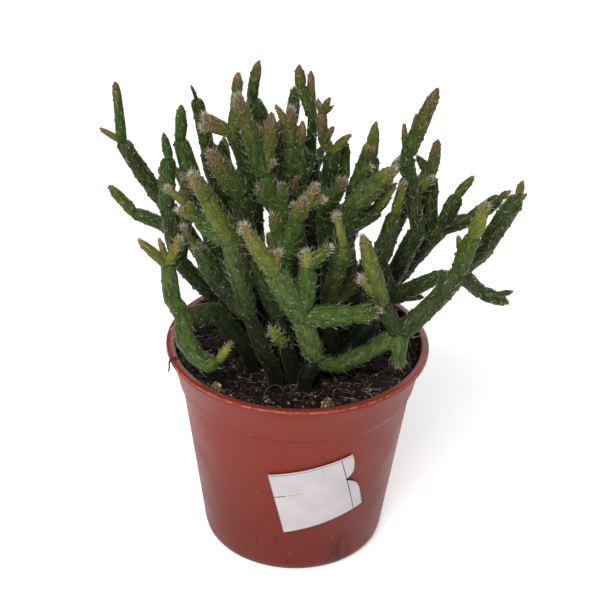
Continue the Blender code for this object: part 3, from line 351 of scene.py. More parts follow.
# stems of the far side: foot, heading in degrees from +X, and the seed of its draw
rearStems = {
    "stem_rear_left": ((-9, 12), 138, 46),
    "stem_rear_middle": ((0, 16), 92, 71),
    "stem_rear_right": ((8.5, 17.5), 78, 160),
    "stem_rear_far_right": ((14.5, 13), 26, 43),
}
# length and girth in mm, rise and spread in degrees, and forks of each storey
rearStoreys = [
    {"length": 18.0, "girth": 4.1, "rise": 70, "spread": 0, "forks": 1},
    {"length": 14.0, "girth": 3.9, "rise": 60, "spread": 38, "forks": 2},
    {"length": 10.5, "girth": 3.4, "rise": 58, "spread": 34, "forks": 2},
    {"length": 7.5, "girth": 2.5, "rise": 64, "spread": 30, "forks": 1},
]
# how far each draw may stray: degrees of turn and rise, and shares of length and girth
rearDraws = {
    "turn": (-10, 10),
    "rise": (-12, 12),
    "length": (0.85, 1.15),
    "girth": (0.88, 1.08),
    "topFork": 0.4,           # chance that a top shoot forks
}


def seenAt(across, up, back):
    reach = 1 + back / viewPoint["distance"]
    x = viewPoint["across"] + (across - viewPoint["across"]) * reach
    z = viewPoint["height"] - (viewPoint["height"] - up) * reach
    return np.array((x, float(back), z))


# points are the joints in mm, and a shoot runs from a share of the way between two of them to a third
def plantClump():
    points, fixed, shoots = [], [], []
    footHeight = clumpSettings["soilTop"] + clumpSettings["collar"]

    def addPoint(place, held=False):
        points.append(np.array(place, dtype=float))
        fixed.append(held)
        return len(points) - 1

    def addShoot(**facts):
        shoots.append(facts)
        return len(shoots) - 1

    for stem, (foot, rows) in stemTable.items():
        footPoint = addPoint((*foot, footHeight), True)
        known = {}
        for name, source, across, up, back, girth, *looks in rows:
            parent, share = source if isinstance(source, tuple) else (source, 1.0)
            index, start = -1, (footPoint, footPoint)
            if parent != "foot":
                index = known[parent]
                start = (shoots[index]["start"][1], shoots[index]["end"])
            end = addPoint(seenAt(across, up, back))
            known[name] = addShoot(stem=stem, name=name, parent=index, share=share,
                                   start=start, end=end, girth=girth, looks=looks)

    for stem, (foot, heading, seed) in rearStems.items():
        draw = random.Random(seed)
        storey = [(-1, addPoint((*foot, footHeight), True), heading)]
        for level, rule in enumerate(rearStoreys):
            grown = []
            for parent, start, aim in storey:
                forks = rule["forks"]
                if rule is rearStoreys[-1] and draw.random() < rearDraws["topFork"]:
                    forks = 2
                for fork in range(forks):
                    side = 0 if forks == 1 else 2 * fork - 1
                    turn = aim + side * rule["spread"] + draw.uniform(*rearDraws["turn"])
                    rise = math.radians(rule["rise"] + draw.uniform(*rearDraws["rise"]))
                    length = rule["length"] * draw.uniform(*rearDraws["length"])
                    step = np.array((
                        math.cos(rise) * math.cos(math.radians(turn)),
                        math.cos(rise) * math.sin(math.radians(turn)),
                        math.sin(rise),
                    ))
                    end = addPoint(points[start] + step * length)
                    girth = rule["girth"] * draw.uniform(*rearDraws["girth"])
                    shoot = addShoot(stem=stem, name=f"storey_{level}_{len(grown)}", parent=parent,
                                     share=1.0, start=(start, start), end=end, girth=girth, looks=())
                    grown.append((shoot, end, turn))
            storey = grown
    return points, fixed, shoots


# shares along two shoots, each with its start and its reach, where they come closest
def closestShares(startA, reachA, startB, reachB):
    tiny = 1e-9
    between = startA - startB
    squareA = np.maximum((reachA * reachA).sum(1), tiny)
    squareB = np.maximum((reachB * reachB).sum(1), tiny)
    both = (reachA * reachB).sum(1)
    awayA = (reachA * between).sum(1)
    awayB = (reachB * between).sum(1)
    spread = np.maximum(squareA * squareB - both * both, tiny)
    shareA = np.clip((both * awayB - squareB * awayA) / spread, 0, 1)
    shareB = np.clip((both * shareA + awayB) / squareB, 0, 1)
    shareA = np.clip((both * shareB - awayA) / squareA, 0, 1)
    return shareA, shareB


# shoots of one stem that meet, or have only one shoot between them
def areRelated(shoots, a, b):
    most = 3

    def ancestry(shoot):
        found = []
        while shoot >= 0 and len(found) < most:
            found.append(shoot)
            shoot = shoots[shoot]["parent"]
        return found

    aboveA, aboveB = ancestry(a), ancestry(b)
    if shoots[a]["parent"] == shoots[b]["parent"]:
        return True
    return any(
        shoot in aboveB and steps + aboveB.index(shoot) <= most for steps, shoot in enumerate(aboveA)
    )


# the joints shift until no two shoots touch, mostly along the lines of sight
def easeApart(points, fixed, shoots):
    clump = clumpSettings
    place = np.array(points)
    home = place.copy()
    loose = ~np.array(fixed)
    first = np.array([shoot["start"][0] for shoot in shoots])
    second = np.array([shoot["start"][1] for shoot in shoots])
    share = np.array([shoot["share"] for shoot in shoots])[:, None]
    ends = np.array([shoot["end"] for shoot in shoots])
    radius = np.array([shoot["girth"] for shoot in shoots]) / 2
    stems = [shoot["stem"] for shoot in shoots]
    a, b = np.array([
        (one, other)
        for one in range(len(ends)) for other in range(one + 1, len(ends))
        if stems[one] != stems[other] or not areRelated(shoots, one, other)
    ]).T
    stemNumber = np.array([list(dict.fromkeys(stems)).index(stem) for stem in stems])
    need = radius[a] + radius[b] + np.where(stemNumber[a] != stemNumber[b], clump["gap"], clump["ownGap"])
    eye = np.array((viewPoint["across"], -viewPoint["distance"], viewPoint["height"]))
    sight = home - eye
    sight /= np.linalg.norm(sight, axis=1)[:, None]
    overSoil = clump["soilTop"] + clump["soilRelief"] + clump["overSoil"] + radius
    overLip = potSettings["height"] + clump["overLip"] + radius
    lipReach = potSettings["rimRadius"] - clump["lipReach"] - radius

    for step in range(clump["rounds"]):
        start = place[first] * (1 - share) + place[second] * share
        reach = place[ends] - start
        alongA, alongB = closestShares(start[a], reach[a], start[b], reach[b])
        between = (start[a] + reach[a] * alongA[:, None]) - (start[b] + reach[b] * alongB[:, None])
        apart = np.linalg.norm(between, axis=1)
        tight = apart < need + clump["slack"]
        if not tight.any():
            break
        away = between[tight] / np.maximum(apart[tight], 1e-6)[:, None]
        push = (need + clump["spare"] - apart)[tight] / 2
        shift = np.zeros_like(place)
        count = np.zeros(len(place))
        for shoot, along, sign in ((a[tight], alongA[tight], 1.0), (b[tight], alongB[tight], -1.0)):
            for joint, weight in (
                (ends[shoot], along),
                (second[shoot], (1 - along) * share[shoot, 0]),
                (first[shoot], (1 - along) * (1 - share[shoot, 0])),
            ):
                move = away * (sign * push * weight)[:, None]
                line = sight[joint]
                deep = (move * line).sum(1)[:, None] * line
                np.add.at(shift, joint, clump["acrossSight"] * (move - deep) + clump["alongSight"] * deep)
                np.add.at(count, joint, weight > clump["countedPush"])
        shift /= np.maximum(1.0, clump["calming"] * count)[:, None]
        place[loose] += shift[loose]
        if step < clump["holdingRounds"]:
            place[loose] += clump["homing"] * (home - place)[loose]
        out = np.hypot(place[ends, 0], place[ends, 1])
        place[ends, 2] = np.maximum(place[ends, 2], np.where(out > lipReach, overLip, overSoil))

    for shoot in shoots:
        low, high = (place[index] for index in shoot["start"])
        start = Vector(low * (1 - shoot["share"]) + high * shoot["share"])
        end = Vector(place[shoot["end"]])
        shoot["line"] = (start, end)
        shoot["ahead"] = (end - start).normalized()
        shoot["length"] = (end - start).length


# a shader node with its settings; an input is a number, a colour or another node's output
def addNode(tree, kind, inputs=None, **settings):
    node = tree.nodes.new(kind)
    for key, value in settings.items():
        setattr(node, key, value)
    for key, value in (inputs or {}).items():
        if isinstance(value, bpy.types.NodeSocket):
            tree.links.new(value, node.inputs[key])
        else:
            node.inputs[key].default_value = value
    return node


# a colour is three numbers from 0 to 255 as seen on screen, or another node's output
def mixColour(tree, factor, first, second):
    first, second = (
        (*screenColour(*value), 1.0) if isinstance(value, tuple) else value for value in (first, second)
    )
    node = addNode(tree, "ShaderNodeMix", {0: factor, 6: first, 7: second}, data_type="RGBA")
    return node.outputs[2]


def doMath(tree, operation, first, second=0.0, third=0.0, clamp=False):
    node = addNode(tree, "ShaderNodeMath", {0: first, 1: second, 2: third},
                   operation=operation, use_clamp=clamp)
    return node.outputs[0]


# a colour laid over another where a mask says
def layOver(tree, base, colour, mask, strength):
    return mixColour(tree, doMath(tree, "MULTIPLY", mask, strength), base, colour)


def newMaterial(name, roughness, specular=0.5):
    material = bpy.data.materials.new(name)
    material.use_nodes = True
    shader = material.node_tree.nodes["Principled BSDF"]
    shader.inputs["Roughness"].default_value = roughness
    shader.inputs["Specular IOR Level"].default_value = specular
    return material, material.node_tree, shader


def newGroup(name, inputs, output, kind):
    group = bpy.data.node_groups.new(name, "ShaderNodeTree")
    group.interface.new_socket(name="Place", in_out="INPUT", socket_type="NodeSocketVector")
    for label, value in inputs.items():
        socket = group.interface.new_socket(name=label, in_out="INPUT", socket_type="NodeSocketFloat")
        socket.default_value = value
    group.interface.new_socket(name=output, in_out="OUTPUT", socket_type=kind)
    return group, group.nodes.new("NodeGroupInput").outputs, group.nodes.new("NodeGroupOutput").inputs


# soft or sharp-edged patches where a noise passes between Low and High
def makePatches():
    group, given, out = newGroup(
        "patches", {"Scale": 400.0, "Detail": 2.0, "Low": 0.4, "High": 0.6}, "Mask", "NodeSocketFloat")
    cloud = addNode(group, "ShaderNodeTexNoise", {
        "Vector": given["Place"], "Scale": given["Scale"], "Detail": given["Detail"]})
    spread = addNode(group, "ShaderNodeMapRange", {
        "Value": cloud.outputs["Fac"], "From Min": given["Low"], "From Max": given["High"],
    }, interpolation_type="SMOOTHSTEP")
    group.links.new(spread.outputs["Result"], out["Mask"])
    return group


# low relief of two sizes, one four times as fine as the other
def makeGrain():
    group, given, out = newGroup(
        "grain", {"Scale": 900.0, "Depth": 0.00005, "Strength": 0.5}, "Normal", "NodeSocketVector")
    coarse = addNode(group, "ShaderNodeTexNoise", {
        "Vector": given["Place"], "Scale": given["Scale"], "Detail": 3.0})
    fineScale = doMath(group, "MULTIPLY", given["Scale"], 4.0)
    fine = addNode(group, "ShaderNodeTexNoise", {
        "Vector": given["Place"], "Scale": fineScale, "Detail": 2.0})
    both = doMath(group, "MULTIPLY_ADD", fine.outputs["Fac"], 0.35, coarse.outputs["Fac"])
    bump = addNode(group, "ShaderNodeBump", {
        "Height": both, "Distance": given["Depth"], "Strength": given["Strength"]})
    group.links.new(bump.outputs["Normal"], out["Normal"])
    return group


def objectPlace(tree):
    return addNode(tree, "ShaderNodeTexCoord").outputs["Object"]


# the four numbers that each point carries; what they mean is the piece's own
def readGrowth(tree):
    growth = addNode(tree, "ShaderNodeAttribute", attribute_name="growth")
    parts = addNode(tree, "ShaderNodeSeparateColor", {"Color": growth.outputs["Color"]}).outputs
    return parts["Red"], parts["Green"], parts["Blue"], growth.outputs["Alpha"]


patchesGroup = makePatches()
grainGroup = makeGrain()


def usePatches(tree, scale, low, high, detail=2.0, place=None):
    node = addNode(tree, "ShaderNodeGroup", node_tree=patchesGroup)
    tree.links.new(place or objectPlace(tree), node.inputs["Place"])
    for label, value in (("Scale", scale), ("Detail", detail), ("Low", low), ("High", high)):
        node.inputs[label].default_value = value
    return node.outputs["Mask"]


def useGrain(tree, shader, scale, depth, strength, place=None):
    node = addNode(tree, "ShaderNodeGroup", node_tree=grainGroup)
    tree.links.new(place or objectPlace(tree), node.inputs["Place"])
    for label, value in (("Scale", scale), ("Depth", depth), ("Strength", strength)):
        node.inputs[label].default_value = value
    tree.links.new(node.outputs["Normal"], shader.inputs["Normal"])


def addPiece(name, mesh, materials, slot, *nodes):
    piece = bpy.data.objects.new(name, mesh)
    bpy.context.scene.collection.objects.link(piece)
    for material in materials:
        mesh.materials.append(material)
    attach(piece, "root")
    if nodes:
        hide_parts(*nodes)


# a body turned about Z from a half-section in mm
def turnedShape(profile, sides):
    shape = bmesh.new()
    line = [shape.verts.new((radius, 0, height)) for radius, height in profile]
    edges = [shape.edges.new(pair) for pair in zip(line, line[1:])]
    bmesh.ops.spin(shape, geom=line + edges, cent=(0, 0, 0), axis=(0, 0, 1),
                   angle=math.tau, steps=sides, use_merge=True)
    bmesh.ops.remove_doubles(shape, verts=shape.verts, dist=0.001)
    bmesh.ops.recalc_face_normals(shape, faces=shape.faces)
    return shape


def frameAlong(direction, across):
    across = (across - direction * across.dot(direction)).normalized()
    return across, direction.cross(across)


# moves the open ring of edges on by a matrix, leaving a wall behind it
def extrudeRing(shape, edges, move):
    grown = bmesh.ops.extrude_edge_only(shape, edges=edges)["geom"]
    verts = [item for item in grown if isinstance(item, bmesh.types.BMVert)]
    fresh = set(verts)
    ring = [
        item for item in grown
        if isinstance(item, bmesh.types.BMEdge) and item.verts[0] in fresh and item.verts[1] in fresh
    ]
    bmesh.ops.transform(shape, matrix=move, verts=verts)
    return verts, ring


# a closed tube through rings of a centre, a direction and a radius;
# gives each ring's points and its two directions across the tube
def sweepTube(shape, rings, across, sides):
    before, swept = None, []
    for centre, direction, radius in rings:
        across, beside = frameAlong(direction, across)
        stand = Matrix.Translation(centre) @ Matrix((across, beside, direction)).transposed().to_4x4()
        stand = stand @ Matrix.Diagonal((radius, radius, 1, 1))
        if before is None:
            verts = bmesh.ops.create_circle(
                shape, cap_ends=True, segments=sides, radius=1.0, matrix=stand)["verts"]
            ring = list(dict.fromkeys(edge for vert in verts for edge in vert.link_edges))
        else:
            verts, ring = extrudeRing(shape, ring, stand @ before.inverted())
        swept.append((verts, across, beside))
        before = stand
    bmesh.ops.contextual_create(shape, geom=ring)
    bmesh.ops.recalc_face_normals(shape, faces=shape.faces)
    return swept


# points, faces, tones and finishes of many shapes, on their way to one mesh
class Heap:
    def __init__(self):
        self.points, self.faces, self.tones, self.streaks, self.finishes = [], [], [], [], []
        self.count = 0

    def add(self, points, faces, tones, finish, streaks=(0, 0, 0)):
        self.points.append(points)
        self.faces += [tuple(corner + self.count for corner in face) for face in faces]
        self.tones.append(np.broadcast_to(tones, (len(points), 4)))
        self.streaks.append(np.broadcast_to(streaks, (len(points), 3)))
        self.finishes += [finish] * len(faces)
        self.count += len(points)

    # copies of a small shape: where each stands, its three axes, its tone, and how far it leans over
    def addCopies(self, pattern, places, axes, tones, finish, lean=None):
        points, faces = pattern
        moved = places[:, None, :] + np.einsum("pk,nkj->npj", points, axes)
        if lean is not None:
            moved = moved + (points[:, 2] ** 2)[None, :, None] * lean[:, None, :]
        size = len(points)
        for number in range(len(places)):
            start = self.count + number * size
            self.faces += [tuple(corner + start for corner in face) for face in faces]
        self.points.append(moved.reshape(-1, 3))
        self.tones.append(np.repeat(tones, size, axis=0))
        self.streaks.append(np.zeros((size * len(places), 3)))
        self.finishes += [finish] * (len(faces) * len(places))
        self.count += size * len(places)

    # a box in metres keeps every point inside it
    def toMesh(self, name, box=None):
        points = np.concatenate(self.points) * mm
        if box is not None:
            points = np.clip(points, np.array(box[0]), np.array(box[1]))
        mesh = bpy.data.meshes.new(name)
        mesh.from_pydata(points.tolist(), [], self.faces)
        growth = mesh.attributes.new("growth", "FLOAT_COLOR", "POINT")
        growth.data.foreach_set("color", np.concatenate(self.tones).astype(np.float32).ravel())
        streak = mesh.attributes.new("streak", "FLOAT_VECTOR", "POINT")
        streak.data.foreach_set("vector", np.concatenate(self.streaks).astype(np.float32).ravel())
        mesh.polygons.foreach_set("material_index", self.finishes)
        mesh.shade_smooth()
        mesh.update()
        return mesh


def patternOf(shape):
    shape.verts.ensure_lookup_table()
    shape.verts.index_update()
    points = np.array([vert.co[:] for vert in shape.verts])
    faces = [tuple(vert.index for vert in face.verts) for face in shape.faces]
    shape.free()
    return points, faces


# a thin spike along Z, one unit long, with a base of one unit's radius
def spikePattern(sides, stages, point=0.12, curve=1.5):
    shape = bmesh.new()
    up = Vector((0, 0, 1))
    shares = [stage / stages for stage in range(stages + 1)]
    rings = [(up * share, up, 1 - (1 - point) * share ** curve) for share in shares]
    sweepTube(shape, rings, Vector((1, 0, 0)), sides)
    return patternOf(shape)


# a small rough lump of one unit's radius
def lumpPattern(seed, roughness):
    draw = random.Random(seed)
    shape = bmesh.new()
    bmesh.ops.create_icosphere(shape, subdivisions=1, radius=1.0)
    for vert in shape.verts:
        vert.co *= 1 + draw.uniform(-roughness, roughness)
    return patternOf(shape)


# patches are a scale, where they begin and where they are full, and their detail;
# a pair of colours is for shade and light, or for the two sides of a pattern
skinSettings = {
    "roughness": 0.46,
    "specular": 0.12,
    "sheen": 0.14,
    "sheenTint": (170, 186, 124),
    "grain": (1.6, 0.00015, 0.7),
    "old": ((12, 18, 9), (100, 122, 60)),
    # from old to young
    "ages": [(0.3, (48, 80, 22)), (0.5, (72, 86, 27)), (0.8, (106, 113, 36)), (1.0, (142, 144, 58))],
    "agePatches": (260.0, 0.35, 0.7),
    "ageSpread": 0.12,
    "freshness": 2.4,             # how soon the old green is left behind
    "dark": (14, 18, 8),
    "darkDepth": 0.65,            # of an old shoot's streaks
    "youngDepth": -0.3,           # what youth takes from it
    "darkStreaks": (1.1, 0.38, 0.6, 3.0),
    "pale": (134, 148, 84),
    "paleDepth": 0.26,
    "paleStreaks": (2.4, 0.5, 0.68, 3.0),
    "mottle": (2300.0, 0.5, 0.6),
    "mottleDepth": 0.6,
    "ripe": ((96, 74, 46), (150, 120, 78)),
    "tan": (60, 45, 23),
    "tanPatches": (1900.0, 0.42, 0.6, 3.0),
    "pink": ((112, 74, 58), (160, 112, 94)),
    "pinkDepth": 0.5,
    "pinkPower": 4.0,             # the higher, the nearer to the tip
    "brownPatches": (900.0, 0.25, 0.75, 3.0),
    "brownRange": (0.8, 0.3),     # how much the patches add, and to what
    "speck": (140, 150, 96),
    "specks": (3200.0, 0.58, 0.68, 1.0),
    "speckDepth": 0.2,
    # painted shade deep inside the clump
    "deep": (9, 12, 7),
}


def makeSkin():
    skin = skinSettings
    material, tree, shader = newMaterial("stemSkin", skin["roughness"], skin["specular"])
    youngness, brown, paintedLight, light = readGrowth(tree)
    streak = addNode(tree, "ShaderNodeAttribute", attribute_name="streak").outputs["Vector"]
    # the old green goes from painted shade to painted light with the shoot's light
    old = mixColour(tree, light, *skin["old"])
    agePatches = usePatches(tree, *skin["agePatches"])
    youth = doMath(tree, "MULTIPLY_ADD", agePatches, skin["ageSpread"], youngness)
    fresh = addNode(tree, "ShaderNodeValToRGB", {"Fac": youth})
    ramp = fresh.color_ramp.elements
    for number, (place, colour) in enumerate(skin["ages"]):
        stop = ramp[number] if number < 2 else ramp.new(place)
        stop.position = place
        stop.color = (*screenColour(*colour), 1)
    freshness = doMath(tree, "MULTIPLY", youth, skin["freshness"], clamp=True)
    green = mixColour(tree, freshness, old, fresh.outputs["Color"])
    # light and dark streaks along each shoot, then finer mottling
    depth = doMath(tree, "MULTIPLY_ADD", youth, skin["youngDepth"], skin["darkDepth"])
    dark = mixColour(tree, depth, green, skin["dark"])
    green = mixColour(tree, usePatches(tree, *skin["darkStreaks"], place=streak), dark, green)
    pale = mixColour(tree, skin["paleDepth"], green, skin["pale"])
    green = mixColour(tree, usePatches(tree, *skin["paleStreaks"], place=streak), green, pale)
    green = layOver(tree, green, dark, usePatches(tree, *skin["mottle"]), skin["mottleDepth"])
    # the ends are brown, and pink at the very tip, both between painted shade and painted light
    ripe = mixColour(tree, light, *skin["ripe"])
    end = mixColour(tree, usePatches(tree, *skin["tanPatches"]), skin["tan"], ripe)
    pink = mixColour(tree, light, *skin["pink"])
    end = layOver(tree, end, pink, doMath(tree, "POWER", brown, skin["pinkPower"]), skin["pinkDepth"])
    share = doMath(tree, "MULTIPLY_ADD", usePatches(tree, *skin["brownPatches"]), *skin["brownRange"])
    green = mixColour(tree, doMath(tree, "MULTIPLY", brown, share, clamp=True), green, end)
    green = layOver(tree, green, skin["speck"], usePatches(tree, *skin["specks"]), skin["speckDepth"])
    # painted shade: the skin darker deep inside the clump
    green = mixColour(tree, paintedLight, skin["deep"], green)
    tree.links.new(green, shader.inputs["Base Color"])
    shader.inputs["Sheen Weight"].default_value = skin["sheen"]
    shader.inputs["Sheen Tint"].default_value = (*screenColour(*skin["sheenTint"]), 1)
    useGrain(tree, shader, *skin["grain"], place=streak)
    return material


bristleSettings = {
    "roughness": 0.55,
    "specular": 0.2,
    "pale": ((236, 236, 218), (200, 200, 160)),
    "palePatches": (700.0, 0.35, 0.65),
    "warm": (216, 176, 156),
    "wool": (104, 116, 66),
    # painted shade deep inside the clump
    "deep": (20, 22, 14),
}


# bristles, and the wool at their feet
def makeBristle():
    bristle = bristleSettings
    material, tree, shader = newMaterial("paleBristle", bristle["roughness"], bristle["specular"])
    warmth, woolliness, paintedLight, _ = readGrowth(tree)
    pale = mixColour(tree, usePatches(tree, *bristle["palePatches"]), *bristle["pale"])
    warm = mixColour(tree, warmth, pale, bristle["warm"])
    wool = mixColour(tree, woolliness, warm, bristle["wool"])
    # painted shade: the bristles darker deep inside the clump
    shaded = mixColour(tree, paintedLight, bristle["deep"], wool)
    tree.links.new(shaded, shader.inputs["Base Color"])
    return material


# heights and distances in mm; a layer is its colour and how strong it is
plasticSettings = {
    "specular": 0.14,
    "roughness": (0.38, 0.48),
    "roughPatches": (90.0, 0.3, 0.7),
    "grain": (420.0, 0.00004, 0.3),
    "body": ((127, 47, 34), (132, 51, 38)),
    "bodyPatches": (34.0, 0.3, 0.7),
    # painted shade: the body darker towards its foot
    "foot": ((108, 37, 26), 1.0),
    "paintedLowShadeFade": (42.0, 4.0),
    "stretch": 0.32,              # of a pattern's scale in height, for drops and runs
    "drops": ((80, 26, 21), 0.75),
    "dropPatches": (620.0, 0.71, 0.73, 1.0),
    "dropFade": (43.0, 38.0),
    "stain": ((66, 20, 15), 0.85),
    "stainMiddle": (11.6, -19.2, 0.4),     # its height is the real one times the stretch
    "stainFade": (4.6, 1.2),
    "runPatches": (480.0, 0.34, 0.5, 3.0),
    # painted shade on the step under the band
    "paintedStepShade": ((90, 30, 20), 0.5),
    "stepShadeFades": ((0.5, 1.0), (-0.1, -0.6)),     # from the step, and from the band
    "flecks": ((172, 112, 96), 0.45),
    "fleckPatches": (1300.0, 0.835, 0.85, 0.0),
    "lip": ((116, 38, 28), 0.25),
    "lipDepth": 1.6,
    "dust": ((190, 140, 118), 0.5),
    "dustPatches": (2600.0, 0.76, 0.775, 0.0),
    # painted highlight along the lip's outer edge
    "paintedRimHighlight": ((184, 104, 84), 1.0),
    "rimHighlightFades": ((-0.35, -0.1), (-0.6, -0.3)),  # from the rim's radius, and from its top
    "rimHighlightPatches": (900.0, 0.3, 0.7, 3.0),
    "peat": ((44, 26, 22), 0.9),
    "peatFade": (0.25, -0.1),     # from the middle of the wall
}


def makePlastic():
    pot, plastic = potSettings, plasticSettings
    lowest, highest = plastic["roughness"]
    material, tree, shader = newMaterial("pressedPlastic", lowest, plastic["specular"])
    position = objectPlace(tree)
    place = addNode(tree, "ShaderNodeSeparateXYZ", {"Vector": position}).outputs
    height = place["Z"]
    radius = doMath(tree, "SQRT", doMath(
        tree, "MULTIPLY_ADD", place["X"], place["X"], doMath(tree, "MULTIPLY", place["Y"], place["Y"])))
    stretched = addNode(tree, "ShaderNodeMapping", {
        "Vector": position, "Scale": (1.0, 1.0, plastic["stretch"])}).outputs["Vector"]

    # 0 to 1 between two limits in mm, measured from an origin
    def fade(value, limits, origin=0.0):
        low, high = (origin + limit for limit in limits)
        return addNode(tree, "ShaderNodeMapRange", {
            "Value": value, "From Min": low * mm, "From Max": high * mm,
        }, interpolation_type="SMOOTHSTEP").outputs["Result"]

    # a named layer, where all of its masks are light
    def lay(base, name, *masks):
        mask = masks[0]
        for other in masks[1:]:
            mask = doMath(tree, "MULTIPLY", mask, other)
        colour, strength = plastic[name]
        return layOver(tree, base, colour, mask, strength)

    def patches(name, place=position):
        return usePatches(tree, *plastic[name], place=place)

    body = mixColour(tree, patches("bodyPatches"), *plastic["body"])
    # painted shade, darker towards the bottom
    body = lay(body, "foot", fade(height, plastic["paintedLowShadeFade"]))
    body = lay(body, "drops", patches("dropPatches", stretched), fade(height, plastic["dropFade"]))
    # a damp stain low on the front, with runs above it
    middle = tuple(value * mm for value in plastic["stainMiddle"])
    away = addNode(tree, "ShaderNodeVectorMath", {0: stretched, 1: middle}, operation="DISTANCE")
    near = fade(away.outputs["Value"], plastic["stainFade"])
    body = lay(body, "stain", near, patches("runPatches", stretched))
    # painted shade on the step under the band
    fromStep, fromBand = plastic["stepShadeFades"]
    body = lay(body, "paintedStepShade", fade(height, fromStep, pot["stepBottom"]),
               fade(height, fromBand, pot["bandBottom"]))
    body = lay(body, "flecks", patches("fleckPatches"))
    onLip = doMath(tree, "GREATER_THAN", height, (pot["height"] - plastic["lipDepth"]) * mm)
    body = lay(body, "lip", onLip)
    body = lay(body, "dust", patches("dustPatches"), onLip)
    # a painted highlight runs along the lip's outer edge, and peat has stained the wall inside
    fromRim, fromTop = plastic["rimHighlightFades"]
    body = lay(body, "paintedRimHighlight", fade(radius, fromRim, pot["rimRadius"]),
               fade(height, fromTop, pot["height"]), patches("rimHighlightPatches"))
    slope = (pot["rimRadius"] - pot["lipOverhang"] - pot["bandBottomRadius"]) / (
        pot["height"] - pot["bandBottom"])
    inward = doMath(tree, "MULTIPLY_ADD", height, -slope, radius)
    wallMiddle = pot["bandBottomRadius"] - pot["wall"] / 2 - slope * pot["bandBottom"]
    body = lay(body, "peat", fade(inward, plastic["peatFade"], wallMiddle),
               doMath(tree, "GREATER_THAN", height, pot["bandBottom"] * mm))
    tree.links.new(body, shader.inputs["Base Color"])
    dull = addNode(tree, "ShaderNodeMapRange", {
        "Value": patches("roughPatches"), "To Min": lowest, "To Max": highest})
    tree.links.new(dull.outputs["Result"], shader.inputs["Roughness"])
    useGrain(tree, shader, *plastic["grain"])
    return material


peatSettings = {
    "roughness": 0.8,
    "specular": 0.12,
    "grain": (1600.0, 0.0003, 0.8),
    "dark": ((10, 8, 8), (33, 26, 23)),
    "darkPatches": (900.0, 0.35, 0.65, 4.0),
    "brown": (114, 92, 76),
    "moss": (134, 118, 68),
    "chalk": (210, 200, 186),
}


def makePeat():
    peat = peatSettings
    material, tree, shader = newMaterial("moistPeat", peat["roughness"], peat["specular"])
    brownness, mossiness, chalkiness, _ = readGrowth(tree)
    colour = mixColour(tree, usePatches(tree, *peat["darkPatches"]), *peat["dark"])
    for name, amount in (("brown", brownness), ("moss", mossiness), ("chalk", chalkiness)):
        colour = mixColour(tree, amount, colour, peat[name])
    tree.links.new(colour, shader.inputs["Base Color"])
    useGrain(tree, shader, *peat["grain"])
    return material


# a bare sheet with its border line, its cut and its crease, and painted shadow along its edges
def makePaper():
    label = labelSettings
    material, tree, shader = newMaterial("labelPaper", label["roughness"])
    sheet = addNode(tree, "ShaderNodeAttribute", attribute_name="sheet")
    place = addNode(tree, "ShaderNodeSeparateXYZ", {"Vector": sheet.outputs["Vector"]}).outputs
    paper = mixColour(tree, usePatches(tree, *label["paperPatches"]), *label["paper"])
    for across, along, offset, slope, width, low, high, strength in label["lines"]:
        line = doMath(tree, "MULTIPLY_ADD", place[along], slope, offset)
        distance = doMath(tree, "ABSOLUTE", doMath(tree, "SUBTRACT", place[across], line))
        inside = doMath(tree, "MULTIPLY", doMath(tree, "GREATER_THAN", place[along], low),
                        doMath(tree, "LESS_THAN", place[along], high))
        mask = doMath(tree, "MULTIPLY", doMath(tree, "LESS_THAN", distance, width), inside)
        paper = layOver(tree, paper, label["line"], mask, strength)
    tree.links.new(paper, shader.inputs["Base Color"])
    useGrain(tree, shader, *label["grain"])
    return material


potSettings = {
    "height": 54.5,
    "rimRadius": 32.5,
    "lipThickness": 1.2,
    "lipOverhang": 1.3,
    "wall": 0.9,
    "floor": 1.2,
    "floorCorner": 1.0,
    "bandBottom": 44.5,
    "bandBottomRadius": 29.4,
    "stepBottom": 42.6,
    "bodyTopRadius": 28.5,
    "bodyBottom": 2.5,
    "bodyBottomRadius": 23.0,
    "baseRadius": 22.1,
    # rounded corners, as steps in mm from the sharp ones, outwards and up
    "baseCorner": [(-0.6, 0.0), (0.0, 0.25), (0.5, 1.0)],
    "stepCorner": [(0.0, 0.0), (0.12, 0.35)],
    "bandCorner": [(-0.1, -0.3), (0.0, 0.0)],
    "lipFoot": [(0.0, -0.3), (0.18, -0.08)],
    "lipUnderside": [(-0.3, 0.0), (-0.06, 0.16), (0.0, 0.42)],
    "lipTop": [(0.0, -0.42), (-0.1, -0.16), (-0.34, 0.0)],
    "lipInside": [(0.55, 0.0), (0.2, -0.14), (0.0, -0.5)],
    "sides": 132,
    "drains": 6,
    "drainRadius": 2.6,
    "drainCircle": 15.0,
    "drainSides": 28,
    "drillDepth": 6.0,
    "sharpAngle": 40,
}


def wallRadius(height):
    pot = potSettings
    slope = (pot["bodyTopRadius"] - pot["bodyBottomRadius"]) / (pot["stepBottom"] - pot["bodyBottom"])
    return pot["bodyBottomRadius"] + slope * (height - pot["bodyBottom"])


